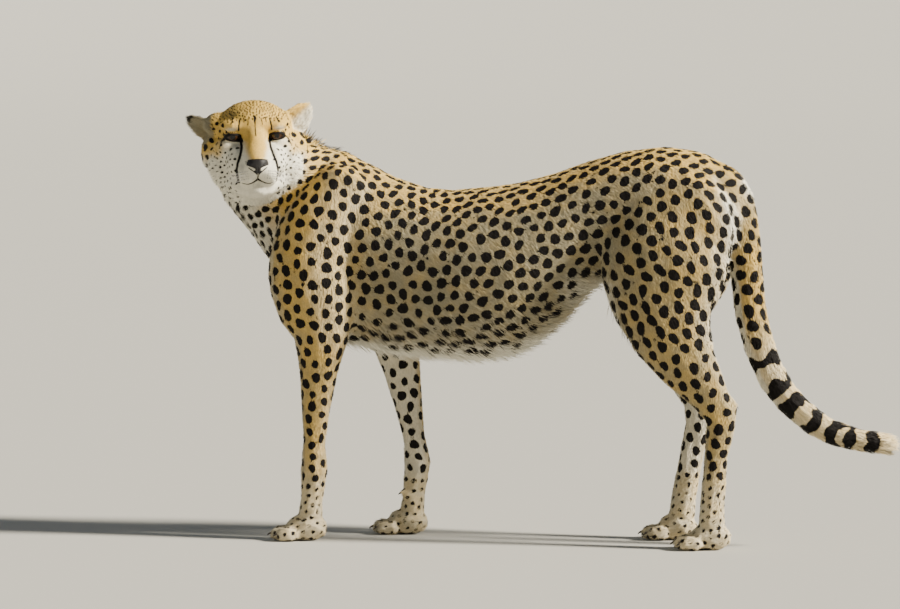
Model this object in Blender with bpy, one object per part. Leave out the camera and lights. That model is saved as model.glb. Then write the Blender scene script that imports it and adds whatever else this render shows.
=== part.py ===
"""A life-size cheetah, standing still with its head turned over its left shoulder.

The animal stands along X and faces -X, with its left side at -Y and the floor at z = 0. The body, head and feet
are each blocked out from lofted tubes and ellipsoids, fused by a voxel remesh, smoothed and thinned, and then
parted into their named nodes by thin cuts. Sizes are in metres and reach to the tips of the coat.
"""

import math

import bmesh
import bpy
import numpy as np
from mathutils import Matrix, Vector

# ---- driving sizes ---------------------------------------------------------------------------------------------

GAP = 0.0003  # between two nodes that meet
RING_SIDES = 28
RINGS_PER_SPAN = 4
ROUND_END = ((0.36, 0.88), (0.64, 0.58), (0.80, 0.08))  # rings past a loft's end: way out in half widths, scale
PARTING_HALF, PARTING_DEPTH = 0.25, 0.60  # of the block ahead of a parting plane

BODY_FORM = {"voxel": 0.0050, "smoothing": 12, "triangles": 1900}
HEAD_FORM = {"voxel": 0.0026, "smoothing": 10, "triangles": 1420}
FOOT_FORM = {"voxel": 0.0026, "smoothing": 3, "triangles": 230}

EYE_RADIUS = 0.0165
EYE_SPACING = 0.0830  # between the two eyes' centres
EYE_RISE = 0.0045  # of the eyes' centres over the head's own frame
CLAW_LENGTH = 0.0150
CLAW_RADIUS = 0.0032
CLAW_BEND = 0.9  # how far it curves down, in radians
CLAW_TAPER = 0.78  # of its radius that is gone at the tip
CLAW_FLATNESS = 0.8  # its width as a share of its height
CLAW_SIDES = 5
CLAW_LIFT = 0.003  # of its root over the middle of the toe
CLAW_ROOT_SHARE = {"toe": 0.66, "dewclaw": 0.25}  # of the toe's half length, where the claw begins

LEFT, RIGHT = -1, 1
SIDE_NAMES = {LEFT: "left", RIGHT: "right"}

# Stations of the lofts: x, y, z, half width across the body, half depth in the upright plane.
TRUNK = (
    (-0.428, 0.000, 0.505, 0.050, 0.060),  # breast
    (-0.402, 0.000, 0.515, 0.080, 0.112),
    (-0.355, 0.000, 0.535, 0.097, 0.155),
    (-0.300, 0.000, 0.546, 0.105, 0.176),  # withers
    (-0.220, 0.000, 0.521, 0.112, 0.167),
    (-0.140, 0.000, 0.508, 0.118, 0.159),
    (-0.060, 0.000, 0.509, 0.122, 0.162),  # deepest part of the ribs and belly
    (0.020, 0.000, 0.522, 0.118, 0.160),
    (0.090, 0.000, 0.557, 0.107, 0.144),
    (0.160, 0.000, 0.606, 0.093, 0.120),  # waist
    (0.230, 0.000, 0.632, 0.090, 0.112),
    (0.310, 0.000, 0.634, 0.092, 0.117),  # croup
    (0.385, 0.000, 0.627, 0.078, 0.107),
    (0.415, 0.000, 0.616, 0.055, 0.080),
)
NECK = (
    (-0.320, 0.000, 0.585, 0.088, 0.132),
    (-0.385, 0.000, 0.625, 0.083, 0.130),
    (-0.435, -0.006, 0.660, 0.075, 0.106),
    (-0.474, -0.022, 0.697, 0.070, 0.091),
    (-0.494, -0.042, 0.742, 0.056, 0.066),
)
TAIL = (
    (0.375, 0.000, 0.697, 0.040, 0.036),
    (0.414, 0.000, 0.682, 0.036, 0.034),
    (0.436, 0.000, 0.642, 0.032, 0.033),
    (0.447, 0.000, 0.585, 0.031, 0.032),
    (0.454, 0.000, 0.520, 0.030, 0.031),
    (0.461, -0.002, 0.450, 0.029, 0.030),
    (0.477, -0.005, 0.385, 0.028, 0.029),
    (0.506, -0.009, 0.318, 0.027, 0.028),
    (0.548, -0.013, 0.267, 0.026, 0.026),
    (0.602, -0.017, 0.227, 0.024, 0.024),
    (0.660, -0.020, 0.208, 0.022, 0.022),
    (0.722, -0.022, 0.199, 0.017, 0.018),
)
FORELEG = {
    LEFT: (
        (-0.305, -0.058, 0.684, 0.034, 0.050),  # top of the shoulder blade
        (-0.345, -0.074, 0.608, 0.047, 0.075),
        (-0.371, -0.084, 0.528, 0.053, 0.079),  # point of the shoulder
        (-0.362, -0.087, 0.456, 0.050, 0.077),
        (-0.349, -0.085, 0.399, 0.043, 0.058),  # elbow
        (-0.352, -0.082, 0.346, 0.034, 0.042),
        (-0.358, -0.080, 0.276, 0.026, 0.031),
        (-0.363, -0.078, 0.190, 0.021, 0.022),
        (-0.364, -0.077, 0.137, 0.025, 0.026),  # wrist
        (-0.368, -0.077, 0.085, 0.022, 0.021),
    ),
    RIGHT: (
        (-0.292, 0.058, 0.684, 0.034, 0.050),
        (-0.314, 0.074, 0.608, 0.047, 0.078),
        (-0.325, 0.084, 0.528, 0.053, 0.086),
        (-0.291, 0.088, 0.456, 0.050, 0.078),
        (-0.252, 0.087, 0.402, 0.043, 0.056),
        (-0.236, 0.084, 0.348, 0.034, 0.042),
        (-0.220, 0.080, 0.276, 0.026, 0.031),
        (-0.204, 0.077, 0.190, 0.021, 0.022),
        (-0.197, 0.076, 0.137, 0.025, 0.026),
        (-0.202, 0.076, 0.085, 0.022, 0.021),
    ),
}
HINDLEG = {
    LEFT: (
        (0.360, -0.040, 0.668, 0.046, 0.078),  # hip
        (0.313, -0.074, 0.561, 0.056, 0.121),
        (0.311, -0.082, 0.478, 0.052, 0.107),
        (0.321, -0.090, 0.420, 0.046, 0.084),  # stifle
        (0.351, -0.090, 0.358, 0.038, 0.061),
        (0.392, -0.086, 0.298, 0.029, 0.040),
        (0.419, -0.083, 0.246, 0.024, 0.030),  # hock
        (0.411, -0.082, 0.178, 0.021, 0.023),
        (0.404, -0.082, 0.088, 0.023, 0.023),
    ),
    RIGHT: (
        (0.360, 0.040, 0.668, 0.046, 0.078),
        (0.308, 0.074, 0.561, 0.056, 0.118),
        (0.289, 0.082, 0.480, 0.052, 0.102),
        (0.275, 0.090, 0.425, 0.046, 0.080),
        (0.301, 0.090, 0.364, 0.038, 0.059),
        (0.334, 0.086, 0.302, 0.029, 0.039),
        (0.352, 0.083, 0.250, 0.024, 0.029),
        (0.339, 0.082, 0.178, 0.021, 0.023),
        (0.322, 0.082, 0.088, 0.023, 0.023),
    ),
}

# The head's own frame sits between the eyes, a little under their middles. Its places are left, forward, up.
HEAD_PLACE = (-0.465, -0.130, 0.768)
HEAD_TURN = math.radians(16.0)  # of the face from -Y towards +X
HEAD_NOD = math.radians(2.0)  # muzzle down
HEAD_LEAN = math.radians(2.0)  # chin towards the animal's left
HEAD_BLOBS = (  # name, centre, half sizes, whether it is on both sides
    ("cranium", (0.000, -0.058, 0.008), (0.074, 0.078, 0.058), False),
    ("forehead", (0.000, -0.012, 0.022), (0.050, 0.034, 0.034), False),
    ("brow", (0.040, 0.000, 0.025), (0.027, 0.019, 0.012), True),
    ("cheekbone", (0.052, -0.012, -0.024), (0.027, 0.031, 0.025), True),
    ("cheek", (0.048, -0.036, -0.048), (0.039, 0.046, 0.052), True),
    ("face", (0.028, 0.018, -0.046), (0.030, 0.040, 0.034), True),
    ("muzzle", (0.0185, 0.054, -0.067), (0.0225, 0.031, 0.0225), True),
    ("nose", (0.000, 0.079, -0.052), (0.0245, 0.014, 0.0160), False),
    ("chin", (0.000, 0.046, -0.095), (0.0260, 0.029, 0.0175), False),
    ("throat", (0.000, -0.045, -0.082), (0.062, 0.070, 0.048), False),
    ("nape", (0.000, -0.096, -0.016), (0.066, 0.048, 0.064), False),
    ("ruff", (0.074, -0.062, -0.030), (0.027, 0.034, 0.035), True),
    ("temple", (-0.066, -0.055, 0.022), (0.026, 0.026, 0.024), False),  # skin drawn out to the lowered ear
)
NOSE_BRIDGE = (  # left, forward, up, half width, half depth
    (0.000, -0.020, 0.006, 0.030, 0.034),
    (0.000, 0.012, -0.008, 0.024, 0.029),
    (0.000, 0.042, -0.025, 0.023, 0.026),
    (0.000, 0.070, -0.044, 0.023, 0.021),
)
JAW = (
    (0.006, 0.040, -0.094, 0.024, 0.018),
    (0.030, 0.004, -0.082, 0.024, 0.024),
    (0.050, -0.050, -0.066, 0.026, 0.034),
)
EARS = {  # root, the way to the tip, the way the opening faces, length
    LEFT: ((0.064, -0.058, 0.006), (0.70, -0.10, 0.70), (0.30, 0.93, -0.16), 0.064),
    RIGHT: ((-0.066, -0.060, -0.008), (-0.80, -0.08, 0.60), (-0.41, 0.69, -0.56), 0.074),
}
EAR_HALF_WIDTH = 0.030
EAR_CUP = 0.016
EAR_WALL = 0.0055
EAR_ROOT_SHARE = 0.18  # of its length that is sunk in the skull
NOSE_PAD = ((0.000, 0.086, -0.053), (0.0240, 0.0165, 0.0140))  # middle, half sizes
HEAD_PARTING = ((-0.470, -0.030, 0.675), (-0.35, -0.45, 0.82))  # a place on the plane, the way to the head

# A foot's own frame: forward, to the side, up from the floor.
PAW_PAD = ((0.000, 0.000, 0.024), (0.040, 0.029, 0.027))
TOES = (  # place of the toe's middle, how far it turns outwards in degrees
    ((0.032, -0.0290, 0.0125), -14.0),
    ((0.046, -0.0110, 0.0125), -3.0),
    ((0.046, 0.0110, 0.0125), 3.0),
    ((0.032, 0.0290, 0.0125), 14.0),
)
TOE_HALF = (0.0235, 0.0125, 0.0160)
DEWCLAW_TOE = ((-0.002, 0.0190, 0.0800), 12.0)  # on the inner side of a forepaw
DEWCLAW_TOE_HALF = (0.0120, 0.0080, 0.0120)
ANKLE_HEIGHT = 0.050
ANKLE_SHARE = 0.7  # of its place that follows the leg, the rest the sole
WRIST_PAD = ((-0.019, 0.000, 0.106), (0.011, 0.012, 0.014))  # the bare pad behind a forepaw's wrist
FOOT_TOP = {"fore": 0.112, "hind": 0.130}
FOOT_REACH = (0.13, 0.10, 0.075)  # of a foot's space ahead, behind and to each side of the sole's centre
PAW_PLACE = {  # centre of the sole on the floor, heading away from -X in degrees
    ("fore", LEFT): (-0.378, -0.077, 4.0),
    ("fore", RIGHT): (-0.214, 0.076, -4.0),
    ("hind", LEFT): (0.400, -0.082, 3.0),
    ("hind", RIGHT): (0.309, 0.082, -3.0),
}

LEGS = {"fore": FORELEG, "hind": HINDLEG}
UPPER_NAMES = {"fore": "upper_arm", "hind": "thigh"}
LOWER_NAMES = {"fore": "forearm", "hind": "shank"}
UPPER_LEG_BOTTOM = {"fore": 0.362, "hind": 0.385}  # where elbow and stifle part the leg
LEG_INNER = {"fore": 0.045, "hind": 0.036}  # how far from the middle a leg's nodes begin
LEG_OUTER = 0.30  # and how far out the space that parts them reaches
LEG_ROOM = 0.008  # of that space round the upper leg's stations
LOWER_LEG_REACH = (0.17, 0.11)  # of that space ahead of and behind the lower leg
TAIL_ROOM = 0.003
# Points of the legs that the lofts leave out: offset from a station of the leg, half sizes.
ELBOW_POINT = (4, (0.034, 0.000, 0.022), (0.028, 0.022, 0.034))
HEEL_POINT = (6, (0.013, 0.000, 0.010), (0.016, 0.015, 0.032))
HEEL_TILT = math.radians(26.0)
HAUNCH = (1, (0.045, 0.014, 0.030), (0.080, 0.046, 0.112))  # its middle lies inwards of the station
NECK_PARTING = ((-0.405, 0.0, 0.610), (-0.861, 0.0, 0.509))
TAIL_PARTINGS = (
    ("tail_root", (0.455, 0.0, 0.530), (0.08, 0.0, -1.0)),
    ("tail_upper", (0.485, -0.005, 0.368), (0.35, 0.0, -0.94)),
    ("tail_lower", (0.576, -0.015, 0.245), (0.83, 0.0, -0.56)),
)

COAT = {
    "tawny_fur": ((0.72, 0.52, 0.28), 0.85),
    "pale_fur": ((0.86, 0.82, 0.74), 0.85),
    "nose_leather": ((0.03, 0.025, 0.025), 0.45),
    "eye": ((0.42, 0.22, 0.07), 0.08),
    "claw_horn": ((0.20, 0.17, 0.14), 0.40),
}


# ---- shared tools ----------------------------------------------------------------------------------------------

def material(name):
    """A plain Principled finish by name, made once."""
    found = bpy.data.materials.get(name)
    if found:
        return found
    colour, roughness = COAT[name]
    made = bpy.data.materials.new(name)
    made.use_nodes = True
    shader = made.node_tree.nodes["Principled BSDF"]
    shader.inputs["Base Color"].default_value = (*colour, 1.0)
    shader.inputs["Roughness"].default_value = roughness
    return made


def object_from(name, mesh, finish=None):
    made = bpy.data.objects.new(name, mesh)
    bpy.context.scene.collection.objects.link(made)
    if finish:
        mesh.materials.clear()
        mesh.materials.append(material(finish))
    return made


def mesh_from(name, bm):
    """The bmesh as a closed mesh that faces outwards."""
    bmesh.ops.recalc_face_normals(bm, faces=bm.faces)
    made = bpy.data.meshes.new(name)
    bm.to_mesh(made)
    bm.free()
    return made


def through(stations, steps=RINGS_PER_SPAN):
    """Smooth curve through rows of numbers, by Catmull-Rom."""
    rows = np.array(stations, float)
    padded = np.vstack([2 * rows[0] - rows[1], rows, 2 * rows[-1] - rows[-2]])
    found = []
    for a, b, c, d in zip(padded, padded[1:], padded[2:], padded[3:]):
        for t in np.arange(steps) / steps:
            found.append(
                0.5 * (2 * b + (c - a) * t + (2 * a - 5 * b + 4 * c - d) * t**2 + (3 * b - a - 3 * c + d) * t**3)
            )
    return np.array([*found, rows[-1]])


def loft(stations, across=(0.0, 1.0, 0.0), heading=None, steps=RINGS_PER_SPAN, sides=RING_SIDES):
    """A tube of elliptical rings through stations (x, y, z, half width, half depth), closed by round ends.

    The rings lie square to the tube, or to one fixed heading."""
    rows = through(stations, steps)
    heading = np.gradient(rows[:, :3], axis=0) if heading is None else [heading] * len(rows)
    rings = []
    for row, way in zip(rows, heading):
        rings.append((Vector(row[:3]), Vector(way).normalized(), row[3], row[4]))
    ends = []
    for (centre, way, wide, deep), sign in ((rings[0], -1.0), (rings[-1], 1.0)):
        ends.append([
            (centre + way * sign * out * min(wide, deep), way, wide * scale, deep * scale)
            for out, scale in ROUND_END
        ])
    rings = ends[0][::-1] + rings + ends[1]
    bm = bmesh.new()
    loops = []
    for centre, way, wide, deep in rings:
        side = (Vector(across) - way * way.dot(Vector(across))).normalized()
        up = way.cross(side)
        loops.append([
            bm.verts.new(centre + side * wide * math.cos(turn) + up * deep * math.sin(turn))
            for turn in np.linspace(0, 2 * math.pi, sides, endpoint=False)
        ])
    for first, second in zip(loops, loops[1:]):
        for k in range(sides):
            after = (k + 1) % sides
            bm.faces.new((first[k], first[after], second[after], second[k]))
    bm.faces.new(loops[0])
    bm.faces.new(loops[-1])
    return mesh_from("loft", bm)


def ellipsoid(centre, half_sizes, turn=None, detail=24):
    """A round form with these half sizes along its own axes."""
    bm = bmesh.new()
    place = Matrix.Translation(centre) @ (turn or Matrix.Identity(4)) @ Matrix.Diagonal((*half_sizes, 1.0))
    bmesh.ops.create_uvsphere(bm, u_segments=detail, v_segments=detail // 2, radius=1.0, matrix=place)
    return mesh_from("ellipsoid", bm)


def block(low, high, turn=None, centre=(0.0, 0.0, 0.0)):
    """A box between two corners, turned about its centre."""
    bm = bmesh.new()
    low, high = Vector(low), Vector(high)
    place = (
        Matrix.Translation(centre) @ (turn or Matrix.Identity(4))
        @ Matrix.Translation((low + high) / 2) @ Matrix.Diagonal((*(high - low), 1.0))
    )
    bmesh.ops.create_cube(bm, size=1.0, matrix=place)
    return mesh_from("block", bm)


def evaluated(obj):
    """The object's mesh with its modifiers applied. The object is removed."""
    graph = bpy.context.evaluated_depsgraph_get()
    made = bpy.data.meshes.new_from_object(obj.evaluated_get(graph))
    bpy.data.objects.remove(obj)
    return made


def fused(pieces, form):
    """One closed skin over all the pieces: voxel remesh, smooth, then thin to the form's triangles."""
    bm = bmesh.new()
    for piece in pieces:
        bm.from_mesh(piece)
    joined = bpy.data.meshes.new("blockout")
    bm.to_mesh(joined)
    bm.free()
    work = object_from("blockout", joined)
    remesh = work.modifiers.new("skin", "REMESH")
    remesh.mode = "VOXEL"
    remesh.voxel_size = form["voxel"]
    smooth = work.modifiers.new("soften", "SMOOTH")
    smooth.factor = 0.5
    smooth.iterations = form["smoothing"]
    skin = evaluated(work)
    skin.calc_loop_triangles()
    share = form["triangles"] / len(skin.loop_triangles)
    work = object_from("skin", skin)
    thin = work.modifiers.new("thin", "DECIMATE")
    thin.ratio = min(1.0, share)
    thin.use_collapse_triangulate = True
    return evaluated(work)


def main_body(mesh):
    """The mesh without the crumbs that a cut leaves beside its biggest piece."""
    bm = bmesh.new()
    bm.from_mesh(mesh)
    unseen = set(bm.verts)
    islands = []
    while unseen:
        edge = [unseen.pop()]
        island = set(edge)
        while edge:
            near = {e.other_vert(v) for v in edge for e in v.link_edges} & unseen
            unseen -= near
            island |= near
            edge = list(near)
        islands.append(island)
    biggest = max(islands, key=len)
    bmesh.ops.delete(bm, geom=[v for v in bm.verts if v not in biggest], context="VERTS")
    bm.to_mesh(mesh)
    bm.free()
    return mesh


def combined(first, second, operation):
    """The Boolean of two closed meshes, in one piece."""
    work = object_from("first", first.copy())
    tool = object_from("second", second)
    cut = work.modifiers.new("cut", "BOOLEAN")
    cut.operation = operation
    cut.object = tool
    made = evaluated(work)
    bpy.data.objects.remove(tool)
    return main_body(made)


def parted(flesh, region):
    """(what lies in the region, the rest), with the gap between them. region(grow) makes the region's mesh."""
    return combined(flesh, region(0.0), "INTERSECT"), combined(flesh, region(GAP), "DIFFERENCE")


def beyond(place, way, grow):
    """The space ahead of a plane."""
    turn = Vector(way).to_track_quat("Z", "Y").to_matrix().to_4x4()
    return block((-PARTING_HALF, -PARTING_HALF, -grow), (PARTING_HALF, PARTING_HALF, PARTING_DEPTH), turn, place)


# ---- head ------------------------------------------------------------------------------------------------------

HEAD_TILT = (
    Matrix.Rotation(HEAD_TURN, 4, "Z") @ Matrix.Rotation(HEAD_NOD, 4, "X") @ Matrix.Rotation(-HEAD_LEAN, 4, "Y")
)
HEAD_FRAME = Matrix.Translation(HEAD_PLACE) @ HEAD_TILT


def in_head(place):
    """(left, forward, up) on the head as a point of its frame, whose face looks along -Y."""
    left, forward, up = place
    return Vector((left, -forward, up))


def ear_axes(side):
    """The ear's root and its three ways: to the tip, out of the opening, across."""
    root, tip_way, front_way, length = EARS[side]
    along = in_head(tip_way).normalized()
    front = in_head(front_way)
    front = (front - along * along.dot(front)).normalized()
    return in_head(root), along, front, along.cross(front), length


def ear_sheet(side):
    """The ear's cupped shell, with its root sunk into the skull."""
    root, along, front, across, length = ear_axes(side)
    columns = np.linspace(-1.0, 1.0, 11)
    bm = bmesh.new()
    grid = []
    for s in np.linspace(-EAR_ROOT_SHARE, 1.0, 10):
        rise = max(s, 0.0)
        half = EAR_HALF_WIDTH * math.sqrt(max(1.0 - rise**3, 0.03)) * (1.0 - 0.10 * rise)
        cup = EAR_CUP * (1.0 - 0.75 * rise)
        middle = root + along * s * length
        grid.append([bm.verts.new(middle + across * t * half - front * cup * (1.0 - t * t)) for t in columns])
    for lower, upper in zip(grid, grid[1:]):
        for k in range(len(columns) - 1):
            bm.faces.new((lower[k], lower[k + 1], upper[k + 1], upper[k]))
    sheet = object_from("ear", mesh_from("ear", bm))
    wall = sheet.modifiers.new("wall", "SOLIDIFY")
    wall.thickness = EAR_WALL
    wall.offset = 0.0
    return evaluated(sheet)


def head_flesh():
    """The skull's forms, the jaw, the ears and a stub of neck."""
    pieces = []
    for _, centre, half_sizes, on_both in HEAD_BLOBS:
        for sign in (1.0, -1.0) if on_both else (1.0,):
            pieces.append(ellipsoid(in_head((sign * centre[0], *centre[1:])), half_sizes))
    for sign in (1.0, -1.0):
        jaw = [(*in_head((sign * left, forward, up)), wide, deep) for left, forward, up, wide, deep in JAW]
        pieces.append(loft(jaw, across=(1.0, 0.0, 0.0)))
    bridge = [(*in_head(station[:3]), *station[3:]) for station in NOSE_BRIDGE]
    pieces.append(loft(bridge, across=(1.0, 0.0, 0.0)))
    pieces += [ear_sheet(side) for side in (LEFT, RIGHT)]
    for piece in pieces:
        piece.transform(HEAD_FRAME)
    pieces.append(loft(NECK))
    return fused(pieces, HEAD_FORM)


def head_space(grow):
    return beyond(*HEAD_PARTING, grow)


def ear_space(side, grow):
    root, along, _, _, length = ear_axes(side)
    turn = HEAD_TILT @ along.to_track_quat("Z", "X").to_matrix().to_4x4()
    half = EAR_HALF_WIDTH * 1.35 + grow
    return ellipsoid(HEAD_FRAME @ (root + along * length * 0.66), (half, half, length * 0.62 + grow), turn, 16)


def nose_space(grow):
    middle, half_sizes = NOSE_PAD
    return ellipsoid(HEAD_FRAME @ in_head(middle), [half + grow for half in half_sizes], HEAD_TILT, 16)


def eyeball(side, grow):
    centre = HEAD_FRAME @ in_head((-side * EYE_SPACING / 2, 0.0, EYE_RISE))
    return ellipsoid(centre, (EYE_RADIUS + grow,) * 3, HEAD_TILT, 16)


def make_head():
    flesh, _ = parted(head_flesh(), head_space)
    for side in (LEFT, RIGHT):
        ear, flesh = parted(flesh, lambda grow, side=side: ear_space(side, grow))
        object_from(f"ear_{SIDE_NAMES[side]}", ear, "pale_fur")
    nose, flesh = parted(flesh, nose_space)
    object_from("nose", nose, "nose_leather")
    for side in (LEFT, RIGHT):
        flesh = combined(flesh, eyeball(side, GAP), "DIFFERENCE")
        object_from(f"eye_{SIDE_NAMES[side]}", eyeball(side, 0.0), "eye")
    object_from("head", flesh, "tawny_fur")


# ---- feet and claws --------------------------------------------------------------------------------------------

def paw_frame(kind, side):
    """The foot's frame: forward along its own +X, up along +Z, with the floor at 0."""
    x, y, heading = PAW_PLACE[kind, side]
    return Matrix.Translation((x, y, 0.0)) @ Matrix.Rotation(math.pi + math.radians(heading), 4, "Z")


def toes_of(kind, side):
    """Each toe's place, outward turn, half sizes and where its claw begins, the dewclaw's last."""
    toes = [(place, outward, TOE_HALF, CLAW_ROOT_SHARE["toe"]) for place, outward in TOES]
    if kind == "fore":
        (forward, inwards, up), turn = DEWCLAW_TOE
        toes.append(((forward, side * inwards, up), side * turn, DEWCLAW_TOE_HALF, CLAW_ROOT_SHARE["dewclaw"]))
    return toes


def claw(frame, toe, grow):
    """A short horn cone that comes out of the toe's end and curves down."""
    (forward, aside, up), outward, half_sizes, root_share = toe
    bm = bmesh.new()
    rings = []
    for t in np.linspace(0.0, 1.0, 3):
        bend = CLAW_BEND * t
        centre = Vector((math.sin(bend), 0.0, math.cos(bend) - 1.0)) * CLAW_LENGTH / CLAW_BEND
        rise = Vector((math.sin(bend), 0.0, math.cos(bend)))
        radius = CLAW_RADIUS * (1.0 - CLAW_TAPER * t) + grow
        side = Vector((0.0, CLAW_FLATNESS, 0.0))
        rings.append([
            bm.verts.new(centre + (rise * math.cos(turn) + side * math.sin(turn)) * radius)
            for turn in np.linspace(0.0, 2 * math.pi, CLAW_SIDES, endpoint=False)
        ])
    for first, second in zip(rings, rings[1:]):
        for k in range(CLAW_SIDES):
            bm.faces.new((first[k], first[k - 1], second[k - 1], second[k]))
    bm.faces.new(rings[0])
    bm.faces.new(rings[-1])
    made = mesh_from("claw", bm)
    heading = Matrix.Rotation(math.radians(outward), 4, "Z")
    root = heading @ Vector((half_sizes[0] * root_share, 0.0, CLAW_LIFT))
    made.transform(frame @ Matrix.Translation(Vector((forward, aside, up)) + root) @ heading)
    return made


def foot_space(kind, side, grow):
    """The space that holds one foot, up to its parting line below the wrist or hock."""
    x, y, _ = PAW_PLACE[kind, side]
    ahead, behind, aside = FOOT_REACH
    return block((x - ahead, y - aside, -0.05), (x + behind, y + aside, FOOT_TOP[kind] + grow))


def make_foot(kind, side):
    """One foot, flat on the floor, with a claw in each toe."""
    frame = paw_frame(kind, side)
    tilt = frame.to_3x3().to_4x4()
    leg = LEGS[kind][side]
    pad, pad_half = PAW_PAD
    x, y, _, wide, deep = leg[-1]
    ankle_x = x * ANKLE_SHARE + frame.translation.x * (1.0 - ANKLE_SHARE)
    ankle = (ankle_x, y, ANKLE_HEIGHT, wide * 1.05, deep * 1.10)
    pieces = [loft([*leg[-4:], ankle]), ellipsoid(frame @ Vector(pad), pad_half, tilt)]
    if kind == "fore":
        wrist_pad, wrist_pad_half = WRIST_PAD
        pieces.append(ellipsoid(frame @ Vector(wrist_pad), wrist_pad_half, tilt))
    toes = toes_of(kind, side)
    for place, outward, half_sizes, _ in toes:
        turn = tilt @ Matrix.Rotation(math.radians(outward), 4, "Z")
        pieces.append(ellipsoid(frame @ Vector(place), half_sizes, turn))
    flesh, _ = parted(fused(pieces, FOOT_FORM), lambda grow: foot_space(kind, side, grow))
    flesh = combined(flesh, block((-1.0, -1.0, -1.0), (1.0, 1.0, 0.0)), "DIFFERENCE")
    name = f"{kind}paw_{SIDE_NAMES[side]}"
    for number, toe in enumerate(toes, 1):
        flesh = combined(flesh, claw(frame, toe, GAP), "DIFFERENCE")
        object_from(f"{name}_claw_{number}", claw(frame, toe, 0.0), "claw_horn")
    object_from(name, flesh, "pale_fur")


# ---- body, legs and tail ---------------------------------------------------------------------------------------

def body_flesh():
    """Trunk, neck, tail and the four legs, with the points of elbow and hock."""
    pieces = [loft(TRUNK, heading=(1.0, 0.0, 0.0)), loft(NECK), loft(TAIL)]
    for side in (LEFT, RIGHT):
        pieces += [loft(FORELEG[side]), loft(HINDLEG[side])]
        for leg, (station, (back, inwards, up), half_sizes), tilt in (
            (FORELEG, ELBOW_POINT, 0.0), (HINDLEG, HEEL_POINT, HEEL_TILT), (HINDLEG, HAUNCH, 0.0),
        ):
            x, y, z = leg[side][station][:3]
            middle = (x + back, y - side * inwards, z + up)
            pieces.append(ellipsoid(middle, half_sizes, Matrix.Rotation(tilt, 4, "Y")))
    return fused(pieces, BODY_FORM)


def upper_leg_space(kind, side, grow):
    """A slab through the side of the body, shaped like the top of the leg, down to the elbow or stifle."""
    rows = through(LEGS[kind][side], 2)
    bottom, inner = UPPER_LEG_BOTTOM[kind], LEG_INNER[kind]
    rows = rows[rows[:, 2] > bottom]
    reach = rows[:, 4] + LEG_ROOM
    front = np.column_stack([rows[:, 0] - reach, rows[:, 2]])
    back = np.column_stack([rows[:, 0] + reach, rows[:, 2]])[::-1]
    outline = np.vstack([front, (front[-1][0], bottom), (back[0][0], bottom), back])
    along = np.roll(outline, -1, axis=0) - np.roll(outline, 1, axis=0)
    outline += grow * np.column_stack([along[:, 1], -along[:, 0]]) / np.linalg.norm(along, axis=1)[:, None]
    bm = bmesh.new()
    faces = [
        [bm.verts.new((x, side * depth, z)) for x, z in outline] for depth in (inner - grow, LEG_OUTER)
    ]
    bm.faces.new(faces[0])
    bm.faces.new(faces[1])
    for k in range(len(outline)):
        bm.faces.new((faces[0][k - 1], faces[0][k], faces[1][k], faces[1][k - 1]))
    return mesh_from("slab", bm)


def lower_leg_space(kind, side, grow):
    """The space round one lower leg, from the elbow or stifle down."""
    x = LEGS[kind][side][5][0]
    ahead, behind = LOWER_LEG_REACH
    inner, outer = sorted((side * (LEG_INNER[kind] - grow), side * LEG_OUTER))
    return block((x - ahead, inner, 0.0), (x + behind, outer, UPPER_LEG_BOTTOM[kind] + grow))


def tail_space(grow):
    room = TAIL_ROOM + grow
    return loft([(x, y, z, wide + room, deep + room) for x, y, z, wide, deep in TAIL[2:]], steps=2, sides=14)


def make_body():
    flesh = combined(body_flesh(), head_space(GAP), "DIFFERENCE")
    for kind in ("fore", "hind"):
        for side in (LEFT, RIGHT):
            flesh = combined(flesh, foot_space(kind, side, GAP), "DIFFERENCE")
            for names, space in ((LOWER_NAMES, lower_leg_space), (UPPER_NAMES, upper_leg_space)):
                piece, flesh = parted(flesh, lambda grow, s=space, k=kind, d=side: s(k, d, grow))
                object_from(f"{names[kind]}_{SIDE_NAMES[side]}", piece, "tawny_fur")
    tail, flesh = parted(flesh, tail_space)
    for name, place, way in TAIL_PARTINGS:
        rest, piece = parted(tail, lambda grow, p=place, w=way: beyond(p, w, grow))
        object_from(name, piece, "tawny_fur")
        tail = rest
    object_from("tail_tip", tail, "pale_fur")
    neck, flesh = parted(flesh, lambda grow: beyond(*NECK_PARTING, grow))
    object_from("neck", neck, "tawny_fur")
    object_from("trunk", flesh, "tawny_fur")


def centre_on_floor():
    """Puts the origin under the middle of the whole animal's box, on the floor."""
    nodes = list(bpy.context.scene.objects)
    points = np.array([vertex.co for node in nodes for vertex in node.data.vertices])
    middle = (points.min(axis=0) + points.max(axis=0)) / 2
    for node in nodes:
        node.data.transform(Matrix.Translation((-middle[0], -middle[1], 0.0)))


def main():
    for old in list(bpy.data.objects):
        bpy.data.objects.remove(old)
    make_head()
    for kind in ("fore", "hind"):
        for side in (LEFT, RIGHT):
            make_foot(kind, side)
    make_body()
    centre_on_floor()


main()
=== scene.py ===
import math

import bmesh
import bpy
import numpy as np
from mathutils import Matrix, Vector
from mathutils.bvhtree import BVHTree
from mathutils.kdtree import KDTree


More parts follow.
